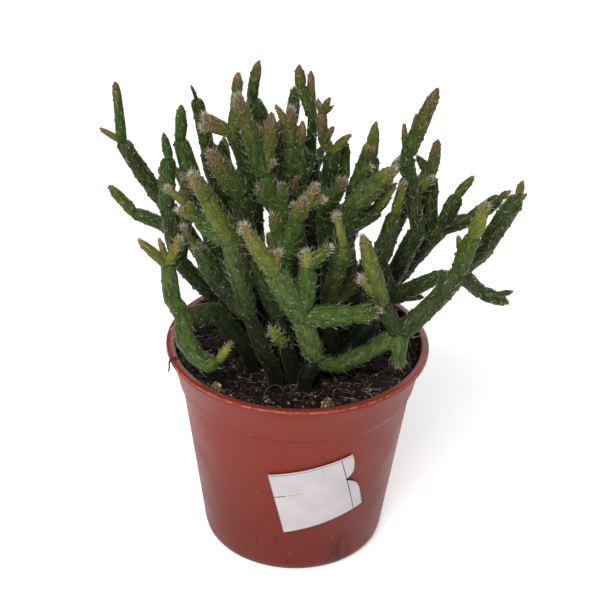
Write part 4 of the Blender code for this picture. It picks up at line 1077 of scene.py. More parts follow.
def buildPot(plastic):
    pot = potSettings
    top, rim, wall = pot["height"], pot["rimRadius"], pot["wall"]
    bandTop = rim - pot["lipOverhang"]
    lipBottom = top - pot["lipThickness"]
    floorEdge = wallRadius(pot["floor"] + pot["floorCorner"]) - wall

    def corner(radius, height, name):
        return [(radius + out, height + up) for out, up in pot[name]]

    profile = [
        (0.0, 0.0),
        *corner(pot["baseRadius"], 0.0, "baseCorner"),
        (pot["bodyBottomRadius"], pot["bodyBottom"]),
        *corner(pot["bodyTopRadius"], pot["stepBottom"], "stepCorner"),
        *corner(pot["bandBottomRadius"], pot["bandBottom"], "bandCorner"),
        *corner(bandTop, lipBottom, "lipFoot"),
        *corner(rim, lipBottom, "lipUnderside"),
        *corner(rim, top, "lipTop"),
        *corner(bandTop - wall, top, "lipInside"),
        (pot["bandBottomRadius"] - wall, pot["bandBottom"]),
        (pot["bodyTopRadius"] - wall, pot["stepBottom"]),
        (floorEdge, pot["floor"] + pot["floorCorner"]),
        (floorEdge - pot["floorCorner"], pot["floor"]),
        (0.0, pot["floor"]),
    ]
    shape = turnedShape(profile, pot["sides"])
    mesh = bpy.data.meshes.new("potShell")
    shape.transform(Matrix.Scale(mm, 4))
    shape.to_mesh(mesh)
    shape.free()
    shell = bpy.data.objects.new("potShell", mesh)
    bpy.context.scene.collection.objects.link(shell)
    drills = bpy.data.collections.new("drills")
    bpy.context.scene.collection.children.link(drills)
    for hole in range(pot["drains"]):
        angle = math.tau * (hole + 0.5) / pot["drains"]
        centre = Vector((math.cos(angle), math.sin(angle), 0)) * pot["drainCircle"] * mm
        cut = bmesh.new()
        bmesh.ops.create_cone(cut, cap_ends=True, segments=pot["drainSides"],
                              radius1=pot["drainRadius"] * mm, radius2=pot["drainRadius"] * mm,
                              depth=pot["drillDepth"] * mm, matrix=Matrix.Translation(centre))
        drill = bpy.data.meshes.new("drill")
        cut.to_mesh(drill)
        cut.free()
        drills.objects.link(bpy.data.objects.new("drill", drill))
    cutting = shell.modifiers.new("drains", "BOOLEAN")
    cutting.operation = "DIFFERENCE"
    cutting.operand_type = "COLLECTION"
    cutting.collection = drills
    cutting.solver = "EXACT"
    bpy.context.view_layer.update()
    graph = bpy.context.evaluated_depsgraph_get()
    drained = bpy.data.meshes.new_from_object(shell.evaluated_get(graph), depsgraph=graph)
    for drill in list(drills.objects):
        bpy.data.objects.remove(drill)
    bpy.data.collections.remove(drills)
    bpy.data.objects.remove(shell)
    drained.shade_smooth()
    drained.set_sharp_from_angle(angle=math.radians(pot["sharpAngle"]))
    addPiece("nurseryPot", drained, [plastic], "pot_plastic", "pot")


soilSettings = {
    "seed": 11,
    "gap": 0.3,
    "sides": 120,
    "ringStep": 0.75,
    "sharpAngle": 50,
    "bankHeight": 3.6,        # how far the soil rises against the wall
    "bankWidth": 6.0,
    "bankCurve": 1.4,
    "edgeDrop": 1.0,          # its edge on the wall, below the bank's top
    "edgeInset": 0.5,         # from that edge to the first ring on top
    "lipRounding": 0.35,
    "roughness": [(2.4, 0.55), (0.9, 0.28)],       # size and height in mm
    "crumbs": 3000,
    "crumbKinds": 4,
    "crumbSizes": (0.14, 0.6),
    "crumbBias": 2.6,         # the higher, the more of them are small
    "crumbRoughness": 0.28,
    "crumbRise": 0.2,         # share of its size
    "crumbReach": 0.1,        # past the soil's edge
    "crumbBrown": 0.8,
    "crumbPaleBias": 3.4,     # the higher, the fewer are pale
    "fibres": 620,
    "fibreLengths": (1.0, 4.6),
    "fibreWidths": (0.03, 0.07),
    "fibreClimbs": (-0.05, 0.3),
    "fibreLeans": (-0.5, 0.5),
    "fibreRise": 0.15,
    "fibreReach": -0.4,
    "fibreLimit": 0.4,        # past the edge, where a fibre's end may be
    "fibreBrowns": (0.2, 1.0),
    "fibreChalk": 0.7,
    "fibrePaleBias": 4,       # and the same for fibres and moss
    "chips": 90,
    "chipSizes": (0.14, 0.36),
    "chipRise": 0.35,
    "chipReach": -0.5,
    "chipBrown": 0.9,
    "chipChalks": (0.0, 0.6),
    "mossSpots": [(7.6, -22.9, 1.5), (-18.9, -17.8, 1.3)],  # x, y and radius in mm
    "mossBits": 200,
    "mossSizes": (0.16, 0.38),
    "mossHeight": 2.6,
    "mossBrown": 0.5,
    "mossGreens": (0.2, 1.0),
    "mossPaleBias": 8,
    # each twig's line in mm, then the dry root's, from the soil over the lip
    "twigs": [
        [(-7.8, -18.9, 49.8), (-7.1, -17.0, 50.7), (-6.1, -16.3, 51.1), (-4.8, -15.9, 51.3),
         (-3.7, -16.2, 51.0), (-2.5, -18.4, 49.7)],
        [(12.4, -22.6, 49.9), (14.0, -21.6, 51.2), (15.6, -21.4, 51.0), (17.6, -22.2, 50.2)],
        [(-13.9, -21.4, 49.9), (-12.2, -20.6, 51.0), (-10.6, -21.2, 50.9), (-9.4, -22.6, 49.9)],
    ],
    "root": [(-25.6, -9.2, 51.2), (-28.2, -10.2, 53.6), (-29.6, -10.8, 55.0), (-30.5, -11.2, 54.95),
             (-30.95, -11.45, 53.9), (-30.8, -11.7, 52.6), (-31.1, -11.7, 51.3)],
    "twigRadius": 0.17,
    "rootRadius": 0.34,
    "rootBrown": 0.35,
    "twigTaper": 0.5,
    "twigSides": 7,
    "twigSoftness": 0.3,
    "twigBrowns": (0.25, 0.6),
}


def soilLevel(x, y):
    soil = soilSettings
    # three broad waves of uneven length, then what is rough, then the bank against the wall
    broad = (0.5 * math.sin(0.31 * x + 1.1) * math.cos(0.27 * y) + 0.3 * math.sin(0.53 * y - 0.4)
             + 0.2 * math.cos(0.61 * x - 0.45 * y))
    rough = sum(
        height * noise.noise(Vector((x, y, 7 * layer)) / size)
        for layer, (size, height) in enumerate(soil["roughness"])
    )
    wall = potSettings["rimRadius"] - potSettings["lipOverhang"] - potSettings["wall"]
    near = max(0.0, 1 - (wall - math.hypot(x, y)) / soil["bankWidth"])
    bank = soil["bankHeight"] * near ** soil["bankCurve"]
    return clumpSettings["soilTop"] + clumpSettings["soilRelief"] * broad + rough + bank


# a draw's turns in any direction, as a stack of matrices
def turnsAbout(draw, count):
    turns = []
    for _ in range(count):
        axis = Vector((draw.gauss(0, 1), draw.gauss(0, 1), draw.gauss(0, 1)))
        turns.append(Matrix.Rotation(draw.uniform(0, math.tau), 3, axis))
    return np.array([[row[:] for row in turn] for turn in turns])


def scatter(draw, count, reach):
    spots = []
    while len(spots) < count:
        x, y = draw.uniform(-reach, reach), draw.uniform(-reach, reach)
        if math.hypot(x, y) < reach:
            spots.append((x, y))
    return spots


# a thin round twig along a line of points
def addTwig(heap, line, thickness, tone):
    soil = soilSettings
    points = [Vector(point) for point in line]
    rings = []
    for number, point in enumerate(points):
        ahead = points[min(number + 1, len(points) - 1)] - points[max(number - 1, 0)]
        radius = thickness * (1 - soil["twigTaper"] * number / len(points))
        rings.append((point, ahead.normalized(), radius))
    shape = bmesh.new()
    sweepTube(shape, rings, Vector((0, 1, 0)), soil["twigSides"])
    bmesh.ops.smooth_vert(shape, verts=shape.verts, factor=soil["twigSoftness"],
                          use_axis_x=True, use_axis_y=True, use_axis_z=True)
    heap.add(*patternOf(shape), tone, 0)


# rough lumps, each with its place, turn, size and tone
def addLumps(heap, pattern, places, turns, sizes, tones):
    axes = turns * np.array(sizes)[:, None, None]
    heap.addCopies(pattern, np.array(places), axes, np.array(tones), 0)


def addCrumbs(heap, draw, edge):
    soil = soilSettings
    low, high = soil["crumbSizes"]
    for kind in range(soil["crumbKinds"]):
        spots = scatter(draw, soil["crumbs"] // soil["crumbKinds"], edge + soil["crumbReach"])
        sizes = [low + (high - low) * draw.random() ** soil["crumbBias"] for _ in spots]
        rises = [soil["crumbRise"] * size for size in sizes]
        places = [(x, y, soilLevel(x, y) + rise) for (x, y), rise in zip(spots, rises)]
        turns = turnsAbout(draw, len(spots))
        tones = [(draw.random() ** soil["crumbPaleBias"] * soil["crumbBrown"], 0, 0, 1) for _ in spots]
        addLumps(heap, lumpPattern(kind, soil["crumbRoughness"]), places, turns, sizes, tones)


# thin bent fibres that lie on the soil, those past its edge left out
def addFibres(heap, draw, edge):
    soil = soilSettings
    places, axes, leans, tones = [], [], [], []
    for x, y in scatter(draw, soil["fibres"], edge + soil["fibreReach"]):
        heading, climb = draw.uniform(0, math.tau), draw.uniform(*soil["fibreClimbs"])
        along = Vector((math.cos(heading), math.sin(heading), climb)).normalized()
        length = draw.uniform(*soil["fibreLengths"])
        width = draw.uniform(*soil["fibreWidths"])
        side = along.cross(Vector((0, 0, 1))).normalized()
        places.append((x, y, soilLevel(x, y) + soil["fibreRise"]))
        axes.append((side * width, side.cross(along) * width, along * length))
        leans.append(side * draw.uniform(*soil["fibreLeans"]) * length - Vector((0, 0, climb * length)))
        brown = draw.uniform(*soil["fibreBrowns"])
        tones.append((brown, 0, soil["fibreChalk"] * draw.random() ** soil["fibrePaleBias"], 1))
    places, axes, leans, tones = (np.array(values) for values in (places, axes, leans, tones))
    ends = places + leans + axes[:, 2]
    keep = np.hypot(ends[:, 0], ends[:, 1]) < edge + soil["fibreLimit"]
    fibre = spikePattern(sides=4, stages=6, point=0.5)
    heap.addCopies(fibre, places[keep], axes[keep], tones[keep], 0, leans[keep])


def addChips(heap, draw, edge):
    soil = soilSettings
    chips = scatter(draw, soil["chips"], edge + soil["chipReach"])
    places = [(x, y, soilLevel(x, y) + soil["chipRise"]) for x, y in chips]
    turns = turnsAbout(draw, len(chips))
    sizes = [draw.uniform(*soil["chipSizes"]) for _ in chips]
    tones = [(soil["chipBrown"], 0, draw.uniform(*soil["chipChalks"]), 1) for _ in chips]
    addLumps(heap, lumpPattern(seed=9, roughness=0.2), places, turns, sizes, tones)


def addMoss(heap, draw):
    soil = soilSettings
    for x, y, radius in soil["mossSpots"]:
        spots = []
        for _ in range(soil["mossBits"]):
            reach, angle = radius * math.sqrt(draw.random()), draw.uniform(0, math.tau)
            spots.append((x + reach * math.cos(angle), y + reach * math.sin(angle), reach / radius))
        places = [
            (left, front, soilLevel(left, front) + soil["mossHeight"] * (1 - far * far) * draw.random())
            for left, front, far in spots
        ]
        turns = turnsAbout(draw, len(spots))
        sizes = [draw.uniform(*soil["mossSizes"]) for _ in spots]
        tones = [
            (soil["mossBrown"], draw.uniform(*soil["mossGreens"]), draw.random() ** soil["mossPaleBias"], 1)
            for _ in spots
        ]
        addLumps(heap, lumpPattern(seed=5, roughness=0.35), places, turns, sizes, tones)


def buildSoil(peat):
    pot, soil = potSettings, soilSettings
    gap, corner = soil["gap"], pot["floorCorner"]
    inner = pot["rimRadius"] - pot["lipOverhang"] - pot["wall"]
    bandBottom = pot["bandBottomRadius"] - pot["wall"]
    edgeHeight = clumpSettings["soilTop"] + soil["bankHeight"] - soil["edgeDrop"]
    rise = (edgeHeight - pot["bandBottom"]) / (pot["height"] - soil["lipRounding"] - pot["bandBottom"])
    edge = bandBottom + (inner - bandBottom) * rise - gap
    foot = wallRadius(pot["floor"] + corner) - pot["wall"] - gap
    rings = int(edge / soil["ringStep"])
    profile = [
        (0.0, pot["floor"] + gap),
        (foot - corner, pot["floor"] + gap),
        (foot, pot["floor"] + corner + gap),
        (pot["bodyTopRadius"] - pot["wall"] - gap, pot["stepBottom"]),
        (bandBottom - gap, pot["bandBottom"]),
        (edge, edgeHeight),
    ] + [
        ((edge - soil["edgeInset"]) * (1 - ring / rings), pot["height"]) for ring in range(rings + 1)
    ]
    shape = turnedShape(profile, soil["sides"])
    for vert in shape.verts:
        if vert.co.z > (edgeHeight + pot["height"]) / 2:
            vert.co.z = soilLevel(vert.co.x, vert.co.y)
    heap = Heap()
    heap.add(*patternOf(shape), (0, 0, 0, 1), 0)
    draw = random.Random(soil["seed"])
    addCrumbs(heap, draw, edge)
    addFibres(heap, draw, edge)
    addChips(heap, draw, edge)
    addMoss(heap, draw)
    for line in soil["twigs"]:
        addTwig(heap, line, soil["twigRadius"], (draw.uniform(*soil["twigBrowns"]), 0, 0, 1))
    mesh = heap.toMesh("soilFilling")
    mesh.set_sharp_from_angle(angle=math.radians(soil["sharpAngle"]))
    addPiece("soilFilling", mesh, [peat], "soil_peat", "soil")


# a dry root that leaves the soil and hangs over the lip
def buildRoot(peat):
    soil = soilSettings
    heap = Heap()
    addTwig(heap, soil["root"], soil["rootRadius"], (soil["rootBrown"], 0, 0, 1))
    addPiece("dryRoot", heap.toMesh("dryRoot"), [peat], "soil_peat")


labelSettings = {
    "middleArc": 6.0,
    "middleHeight": 25.7,
    "tilt": 13.3,
    "thickness": 0.25,
    "gap": 0.3,
    "strips": 26,
    "cornerSteps": 5,
    "sharpAngle": 40,
    "roughness": 0.52,
    "grain": (2600.0, 0.00002, 0.35),
    "paper": ((188, 181, 184), (199, 192, 195)),
    "paperPatches": (160.0, 0.3, 0.7),
    "line": (46, 38, 38),
    # corners in mm across and up the sheet, and how far each is rounded
    "corners": [
        (-10.8, -9.7, 0.0), (11.06, -8.97, 0.0), (10.65, -2.3, 1.6), (9.8, 0.25, 1.3),
        (7.17, 2.39, 0.0), (9.4, 3.5, 1.2), (10.3, 6.6, 1.6), (10.07, 9.7, 0.0), (-10.2, 9.3, 0.0),
    ],
    # the axis that a line is measured on and the one it runs along, 0 across and 1 up the sheet;
    # its place, slope and half width; where it starts and ends; and how dark it is
    "lines": [
        (1, 0, 9.1, 0.0202, 0.1, -10.3, 7.6, 0.8),
        (1, 0, 9.1, 0.0202, 0.08, 7.6, 10.1, 0.5),
        (0, 1, 7.79, -0.0588, 0.12, -8.95, 9.3, 0.92),
        (1, 0, 2.12, 0.0, 0.14, -11.0, -7.6, 0.95),
        (1, 0, 2.2, 0.01, 0.09, -7.6, -3.0, 0.5),
        # painted shadow: the last three lines darken the sheet's left, bottom and lower right edges
        (0, 1, -10.4, 0.0316, 0.1, -9.7, 9.3, 0.75),
        (1, 0, -9.26, 0.0334, 0.09, -10.8, 11.06, 0.65),
        (0, 1, 10.42, -0.0615, 0.08, -8.9, -3.4, 0.5),
    ],
}


def onPotWall(arc, height, out):
    angle = arc / wallRadius(labelSettings["middleHeight"])
    radius = wallRadius(height) + out
    return Vector((math.sin(angle) * radius, -math.cos(angle) * radius, height)) * mm


def buildLabel(paper):
    label = labelSettings
    tilt = math.radians(label["tilt"])
    shape = bmesh.new()
    corners = [shape.verts.new((x, y, 0)) for x, y, _ in label["corners"]]
    shape.faces.new(corners)
    for corner, (_, _, rounding) in zip(corners, label["corners"]):
        if rounding:
            bmesh.ops.bevel(shape, geom=[corner], offset=rounding, offset_type="OFFSET",
                            affect="VERTICES", segments=label["cornerSteps"], profile=0.5,
                            material=-1)
    left = min(vert.co.x for vert in shape.verts)
    width = max(vert.co.x for vert in shape.verts) - left
    for strip in range(1, label["strips"]):
        everything = shape.verts[:] + shape.edges[:] + shape.faces[:]
        bmesh.ops.bisect_plane(shape, geom=everything, dist=1e-4,
                               plane_co=(left + width * strip / label["strips"], 0, 0),
                               plane_no=(1, 0, 0))
    bmesh.ops.triangulate(shape, faces=shape.faces)
    sheet = shape.verts.layers.float_vector.new("sheet")
    for vert in shape.verts:
        vert[sheet] = vert.co
    under = shape.verts[:]
    raised = bmesh.ops.extrude_face_region(shape, geom=shape.faces[:])["geom"]
    over = [item for item in raised if isinstance(item, bmesh.types.BMVert)]
    for verts, out in ((under, label["gap"]), (over, label["gap"] + label["thickness"])):
        for vert in verts:
            x, y = vert.co.x, vert.co.y
            arc = label["middleArc"] + x * math.cos(tilt) - y * math.sin(tilt)
            height = label["middleHeight"] + x * math.sin(tilt) + y * math.cos(tilt)
            vert.co = onPotWall(arc, height, out)
    bmesh.ops.recalc_face_normals(shape, faces=shape.faces)
    mesh = bpy.data.meshes.new("paperLabel")
    shape.to_mesh(mesh)
    shape.free()
    mesh.shade_smooth()
    mesh.set_sharp_from_angle(angle=math.radians(label["sharpAngle"]))
    addPiece("paperLabel", mesh, [paper], "label_paper", "label")


stemSettings = {
    "seed": 5,
    "sides": 14,
    "ringStep": 2.1,
    "neck": 0.86,             # share of the radius at a joint
    "newNeck": 0.72,          # and where a tip has grown on
    "bentNeck": 0.99,
    "runTurn": 0.45,          # cosine of the sharpest turn inside a run
    "runGirths": (0.6, 1.5),
    "bow": 0.028,             # share of a shoot's length
    "mostBow": 0.45,          # mm
    "bowShares": (0.2, 1.0),  # how much of it a shoot has
    "unevenness": 0.07,       # share of its radius
    "uneven": 2.6,            # mm from one swelling to the next
    "waist": 0.97,
    "swelling": 0.05,
    "swellingPlace": 1.15,
    "narrowing": 0.03,
    "tipTaper": 0.26,
    "tipCurve": 1.2,
    # how far back an end narrows, in radii: a tip, a blunt tip, an end without one, and a joint
    "tipReach": 2.3,
    "bluntReach": 1.1,
    "endReach": 0.9,
    "jointReach": 0.85,
    "sinking": 0.3,           # radii inside the parent
    "jointShare": 0.4,        # the most of a shoot's length that a joint takes
    "tipShare": 0.6,          # and a tip
    "streakStretch": 0.28,
    "runOffset": 40.0,        # along the streaks, from one run to the next
    "youthAlong": (0.8, 0.2),      # at a shoot's start, and what its end adds
    "brownReach": 0.95,
    "brownGain": 1.15,
    # lighter towards a shoot's end, and painted light on its upper side
    "endLight": 0.15,
    "paintedTopLight": 0.14,
    "paintedLightRange": (0.03, 0.97),
    "paintedLightCurve": 1.25,
}

# where rings stand: shares of the way back from a joint, a tip and a plain end
ringShares = {
    "start": (0.12, 0.4, 1.0),
    "tip": (1.0, 0.7, 0.44, 0.24, 0.1, 0.03, 0.006),
    "end": (1.0, 0.5, 0.2, 0.05),
    "joint": (1.0, 0.4, 0.12, 0.0),
}

# where the painted shade inside the clump gives way to painted light, in mm from none to all
paintedShadeSettings = {
    "height": (52, 88),
    "outward": (14, 32),
    "forward": (9, 18),
    "frontHeight": (52, 62),
}

coatSettings = {
    "areoleArea": 5.4,        # mm2 of skin for each bump with its bristles
    "bushyArea": 0.35,        # share of it on a bushy shoot
    "youngArea": 0.3,         # how much less on the youngest
    "tipArea": 0.5,           # share of it near a tip
    "tipSpan": 2.2,           # radii
    "firstSpot": 0.3,
    "lastSpot": 0.12,
    "leastRadius": 0.7,
    "spacing": (0.8, 1.2),
    "turnSpread": 0.25,
    "soilRoom": 0.6,
    "bumpSizes": (0.24, 0.42),
    "bumpGrowth": (0.55, 0.2),     # and for each mm of radius
    "bumpTop": 0.42,
    "cushionShare": 0.65,
    "cushionSizes": (0.07, 0.17),
    "cushionWarmth": 0.2,
    "cushionWool": (0.3, 1.0),
    "lumpLength": 1.3,        # a lump's shares of its size, along the shoot and outwards
    "cushionHeight": 0.8,
    "bumpHeight": 0.55,
    "bristleCounts": (1, 1, 2, 2, 3),
    "bushyCount": 4,
    "bristleLengths": (0.6, 1.9),
    "longShare": 0.2,
    "longLengths": (1.8, 3.2),
    "bristleLift": (0.5, 1.35),    # radians from straight out to along the shoot
    "bushyLift": (0.1, 0.9),
    "bristleSpread": 0.9,
    "bristleSinking": 0.05,
    "leansAlong": (-0.1, 0.3),
    "leansIn": (0.0, 0.25),
    "warmths": (0.0, 0.2),
    "tipWarmth": 0.3,
    "warmSpan": 2.5,          # radii back from a brown tip
    "bristleWidth": 0.027,    # radius in mm
    "fuzzArea": 1.5,
    "fuzzLengths": (0.4, 1.1),
    "fuzzLift": (0.8, 1.4),
    "fuzzSpread": 1.2,
    "fuzzSinking": 0.03,
    "fuzzWidth": 0.024,
    "tuftBristles": 135,
    "tuftGrowth": (0.4, 0.3),
    "tuftLengths": (0.6, 1.8),
    "tuftLength": (0.6, 0.4),      # share for a thin tuft, and what a thick one adds
    "tuftSpread": (0.1, 1.2),
    "tuftCurve": 0.8,
    "tuftReach": 1.4,
    "tuftRing": 0.9,          # share of the shoot's radius
    "tuftLeans": (-0.25, 0.3),
    "tuftWarmths": (0.0, 0.4),
}

# the looks of the shoots that have none in their table are drawn from ranges
plainLooks = {
    # light is a shoot's paleness, partly painted light and shade
    "light": (0.15, 0.45),
    "youth": (0.0, 0.1),
    "endLight": (0.2, 0.55),
    "endYouth": (0.05, 0.35),
    "thinYouth": (0.3, 0.65),
    "thin": 3.0,              # mm of girth
    "endBrown": (0.2, 0.9),
    "endTuft": (0.1, 0.8),
    "lowEnds": 76.0,          # mm; below this a shoot's end stays green
    "lowLight": (0.2, 0.4),
    "lowRest": (0.1, 0.1, 0.2),
}

# shoots that carry on from their parent in a bend, without a joint
bentShoots = {
    "stem_front": ("reach_mid", "reach_end", "hang_tip", "sweep_end"),
    "stem_low_left": ("out_up", "out_top", "droop_low", "droop_turn", "droop_end"),
    "stem_upper_left_back": ("left_bend", "left_tip"),
    "stem_back": ("sweep_bend", "sweep_top"),
    "stem_far_left_back": ("low_out",),
    "stem_right_back": ("out_right",),
}

# short shoots that bristle all over, and shoots that end bluntly
bushyShoots = {"stem_left_middle": ("bud_low",), "stem_front": ("upright_tip",)}
bluntShoots = {"stem_left_middle": ("bud_low",), "stem_front": ("hang_tip", "upright_tip")}


def isIn(table, shoot):
    return shoot["name"] in table.get(shoot["stem"], ())


# lists of shoots that follow on from each other without a sharp turn
def findRuns(shoots, members):
    thinnest, thickest = stemSettings["runGirths"]
    children = {shoot: [] for shoot in members}
    for shoot in members:
        if shoots[shoot]["parent"] in children and shoots[shoot]["share"] == 1.0:
            children[shoots[shoot]["parent"]].append(shoot)
    follows = {}
    for shoot in members:
        girth, ahead = shoots[shoot]["girth"], shoots[shoot]["ahead"]
        shoots[shoot]["hasEnd"] = not children[shoot]

        def alike(child):
            return shoots[child]["ahead"].dot(ahead)

        fits = [
            child for child in children[shoot]
            if alike(child) > stemSettings["runTurn"]
            and thinnest < shoots[child]["girth"] / girth < thickest
            and shoots[child]["length"] > girth
        ]
        fits = [child for child in children[shoot] if isIn(bentShoots, shoots[child])] or fits
        if fits:
            follows[shoot] = max(fits, key=alike)
    taken = set(follows.values())
    runs = []
    for shoot in members:
        if shoot not in taken:
            run = [shoot]
            while run[-1] in follows:
                run.append(follows[run[-1]])
            runs.append(run)
    return runs


def shareBetween(value, low, high):
    return min(max((value - low) / (high - low), 0.0), 1.0)


def rounded(share):
    share = shareBetween(share, 0.0, 1.0)
    return math.sqrt(1 - (1 - share) ** 2)


# facts about each shoot that its rings, bristles and colours follow
def readySpans(shoots, runs, draw):
    stem = stemSettings
    spans = []
    for run in runs:
        line = []
        for step, index in enumerate(run):
            shoot = shoots[index]
            radius = shoot["girth"] / 2
            ahead = shoot["ahead"]
            side = Vector((draw.gauss(0, 1), draw.gauss(0, 1), draw.gauss(0, 1)))
            side = (side - ahead * side.dot(ahead)).normalized()
            bow = min(stem["mostBow"], stem["bow"] * shoot["length"]) * draw.uniform(*stem["bowShares"])
            isLast = step == len(run) - 1
            line.append({
                "shoot": shoot, "start": shoot["line"][0], "ahead": ahead, "length": shoot["length"],
                "radius": radius, "bow": side * bow, "turnIn": ahead, "turnOut": ahead,
                "neckIn": stem["newNeck"] * radius, "neckOut": 0.0,
                "tipReach": stem["bluntReach" if isIn(bluntShoots, shoot) else "tipReach"],
                "isTip": isLast and shoot["hasEnd"], "isLast": isLast,
            })
        for before, after in zip(line, line[1:]):
            turn = (before["ahead"] + after["ahead"]).normalized()
            before["turnOut"] = after["turnIn"] = turn
            share = stem["newNeck"] if after["isTip"] else stem["neck"]
            if isIn(bentShoots, after["shoot"]):
                share = stem["bentNeck"]
            before["neckOut"] = after["neckIn"] = share * min(before["radius"], after["radius"])
        spans.append(line)
    return spans


# centre, direction and radius of a shoot at a place in mm from its start
def spanAt(span, place):
    stem = stemSettings
    held = shareBetween(place, 0.0, span["length"])
    centre = span["start"] + span["ahead"] * place + span["bow"] * math.sin(math.pi * held)
    direction = span["ahead"] + span["bow"] * (math.pi / span["length"] * math.cos(math.pi * held))
    fromStart = max(place, 0) / span["radius"]
    fromEnd = max(span["length"] - place, 0) / span["radius"]
    direction = span["turnIn"].lerp(direction, min(fromStart, 1.0))
    direction = span["turnOut"].lerp(direction, min(fromEnd, 1.0)).normalized()
    swelling = stem["swelling"] * math.sin(math.pi * min(held * stem["swellingPlace"], 1.0))
    body = span["radius"] * (stem["waist"] + swelling - stem["narrowing"] * held)
    if span["isTip"]:
        body *= 1 - stem["tipTaper"] * held ** 2
    radius = span["neckIn"] + (body - span["neckIn"]) * rounded(fromStart / stem["jointReach"])
    if span["isTip"]:
        radius = min(radius, body * rounded(fromEnd / span["tipReach"]) ** stem["tipCurve"])
    elif span["isLast"]:
        radius = min(radius, body * rounded(fromEnd / stem["endReach"]))
    else:
        neck = span["neckOut"]
        radius = min(radius, neck + (body - neck) * rounded(fromEnd / stem["jointReach"]))
    return centre, direction, radius


def ringPlaces(span):
    length = span["length"]
    reach = back = min(stemSettings["jointReach"] * span["radius"], stemSettings["jointShare"] * length)
    kind = "end" if span["isLast"] else "joint"
    if span["isTip"]:
        kind = "tip"
        back = min(span["tipReach"] * span["radius"], stemSettings["tipShare"] * length)
    starts = [reach * share for share in ringShares["start"]]
    ends = [length - back * share for share in ringShares[kind]]
    middle = max(0, int((ends[0] - starts[-1]) / stemSettings["ringStep"]))
    gaps = [starts[-1] + (ends[0] - starts[-1]) * (step + 1) / (middle + 1) for step in range(middle)]
    return starts + gaps + ends


def unevenness(point):
    return 1 + stemSettings["unevenness"] * noise.noise(point / stemSettings["uneven"]) * 2


# how much painted light a point gets: 0 in painted shade deep inside the clump and down by the soil, 1 out
# in the open
def paintedLightShare(point, light):
    limits = paintedShadeSettings
    height = shareBetween(point.z, *limits["height"])
    outer = shareBetween(math.hypot(point.x, point.y), *limits["outward"])
    front = shareBetween(-point.y, *limits["forward"]) * shareBetween(point.z, *limits["frontHeight"])
    return max(height, outer, front, light ** 3)


# youth, brown, the painted light share from the clump, and light of the skin: its paleness, partly painted
# light and shade, lighter towards its end and painted lighter on its upper side
def skinTone(span, place, radial):
    stem, shoot = stemSettings, span["shoot"]
    centre = span["start"] + span["ahead"] * place
    share = place / span["length"]
    atStart, added = stem["youthAlong"]
    tip = 0.0
    if shoot["brown"]:
        reach = stem["brownReach"] * shoot["brown"]
        tip = min(max((share - 1) / reach + 1, 0.0) * stem["brownGain"], 1.0)
    light = shoot["light"] ** 2 + stem["endLight"] * (share - 0.5) + stem["paintedTopLight"] * radial.z
    deepest, rest = stem["paintedLightRange"]
    paintedLight = deepest + rest * paintedLightShare(centre, shoot["light"]) ** stem["paintedLightCurve"]
    return shoot["youth"] * (atStart + added * share), tip, paintedLight, min(max(light, 0.0), 1.0)


# one closed tube for shoots that follow on, from inside the soil or inside the parent
def buildRun(line, heap, number):
    settings = stemSettings
    first = line[0]
    if first["shoot"]["parent"] < 0:
        base = first["start"]
        up = Vector((0, 0, 1))
        root = clumpSettings["rootRadius"]
        bottom = Vector((base.x, base.y, clumpSettings["soilTop"] - clumpSettings["rootDepth"]))
        rings = [(spot, up, root, first, 0.0) for spot in (bottom, (bottom + base) / 2)]
        first["neckIn"] = root
    else:
        inside = first["start"] - first["ahead"] * (settings["sinking"] * first["radius"])
        rings = [(inside, first["ahead"], first["neckIn"], first, 0.0)]
    for span in line:
        rings += [(*spanAt(span, place), span, place) for place in ringPlaces(span)]
    shape = bmesh.new()
    tone = shape.verts.layers.float_color.new("tone")
    streak = shape.verts.layers.float_vector.new("streak")
    across = first["ahead"].orthogonal().normalized()
    swept = sweepTube(shape, [ring[:3] for ring in rings], across, settings["sides"])
    along, previous = settings["runOffset"] * number, rings[0][0]
    for (centre, _, _, span, place), (verts, across, beside) in zip(rings, swept):
        along += (centre - previous).length * settings["streakStretch"]
        previous = centre
        for vert in verts:
            out = vert.co - centre
            vert[tone] = skinTone(span, place, out.normalized() if out.length else out)
            turned = Vector((out.dot(across), out.dot(beside), 0)).normalized() * span["radius"]
            vert[streak] = (turned.x, turned.y, along)
            vert.co = centre + out * unevenness(vert.co)
    tones = np.array([vert[tone][:] for vert in shape.verts])
    streaks = np.array([vert[streak][:] for vert in shape.verts])
    points, faces = patternOf(shape)
    heap.add(points, faces, tones, 0, streaks)


# spots in a spiral from the joint to the tip, each with an area of skin to itself
def spiralSpots(span, across, draw, area):
    coat = coatSettings
    turn = draw.uniform(0, math.tau)
    place = coat["firstSpot"] * span["radius"]
    while True:
        radius = spanAt(span, place)[2]
        fromTip = (span["length"] - place) / span["radius"] if span["isTip"] else math.inf
        room = area * (coat["tipArea"] if fromTip < coat["tipSpan"] else 1.0)
        place += room / (math.tau * max(radius, coat["leastRadius"])) * draw.uniform(*coat["spacing"])
        if place > span["length"] - coat["lastSpot"] * span["radius"]:
            return
        turn += goldenTurn + draw.uniform(-coat["turnSpread"], coat["turnSpread"])
        centre, direction, radius = spanAt(span, place)
        side, beside = frameAlong(direction, across)
        out = side * math.cos(turn) + beside * math.sin(turn)
        foot = centre + out * radius
        foot = centre + out * (radius * unevenness(foot))
        if foot.z > clumpSettings["soilTop"] + coat["soilRoom"]:
            yield foot, direction, out, place, fromTip


# a hair's direction, lifted from straight out towards the shoot's own and turned sideways
def aimHair(draw, direction, out, lifts, sideways):
    lift = draw.uniform(*lifts)
    aim = out * math.cos(lift) + direction * math.sin(lift)
    return (aim + out.cross(direction) * draw.uniform(-sideways, sideways)).normalized()


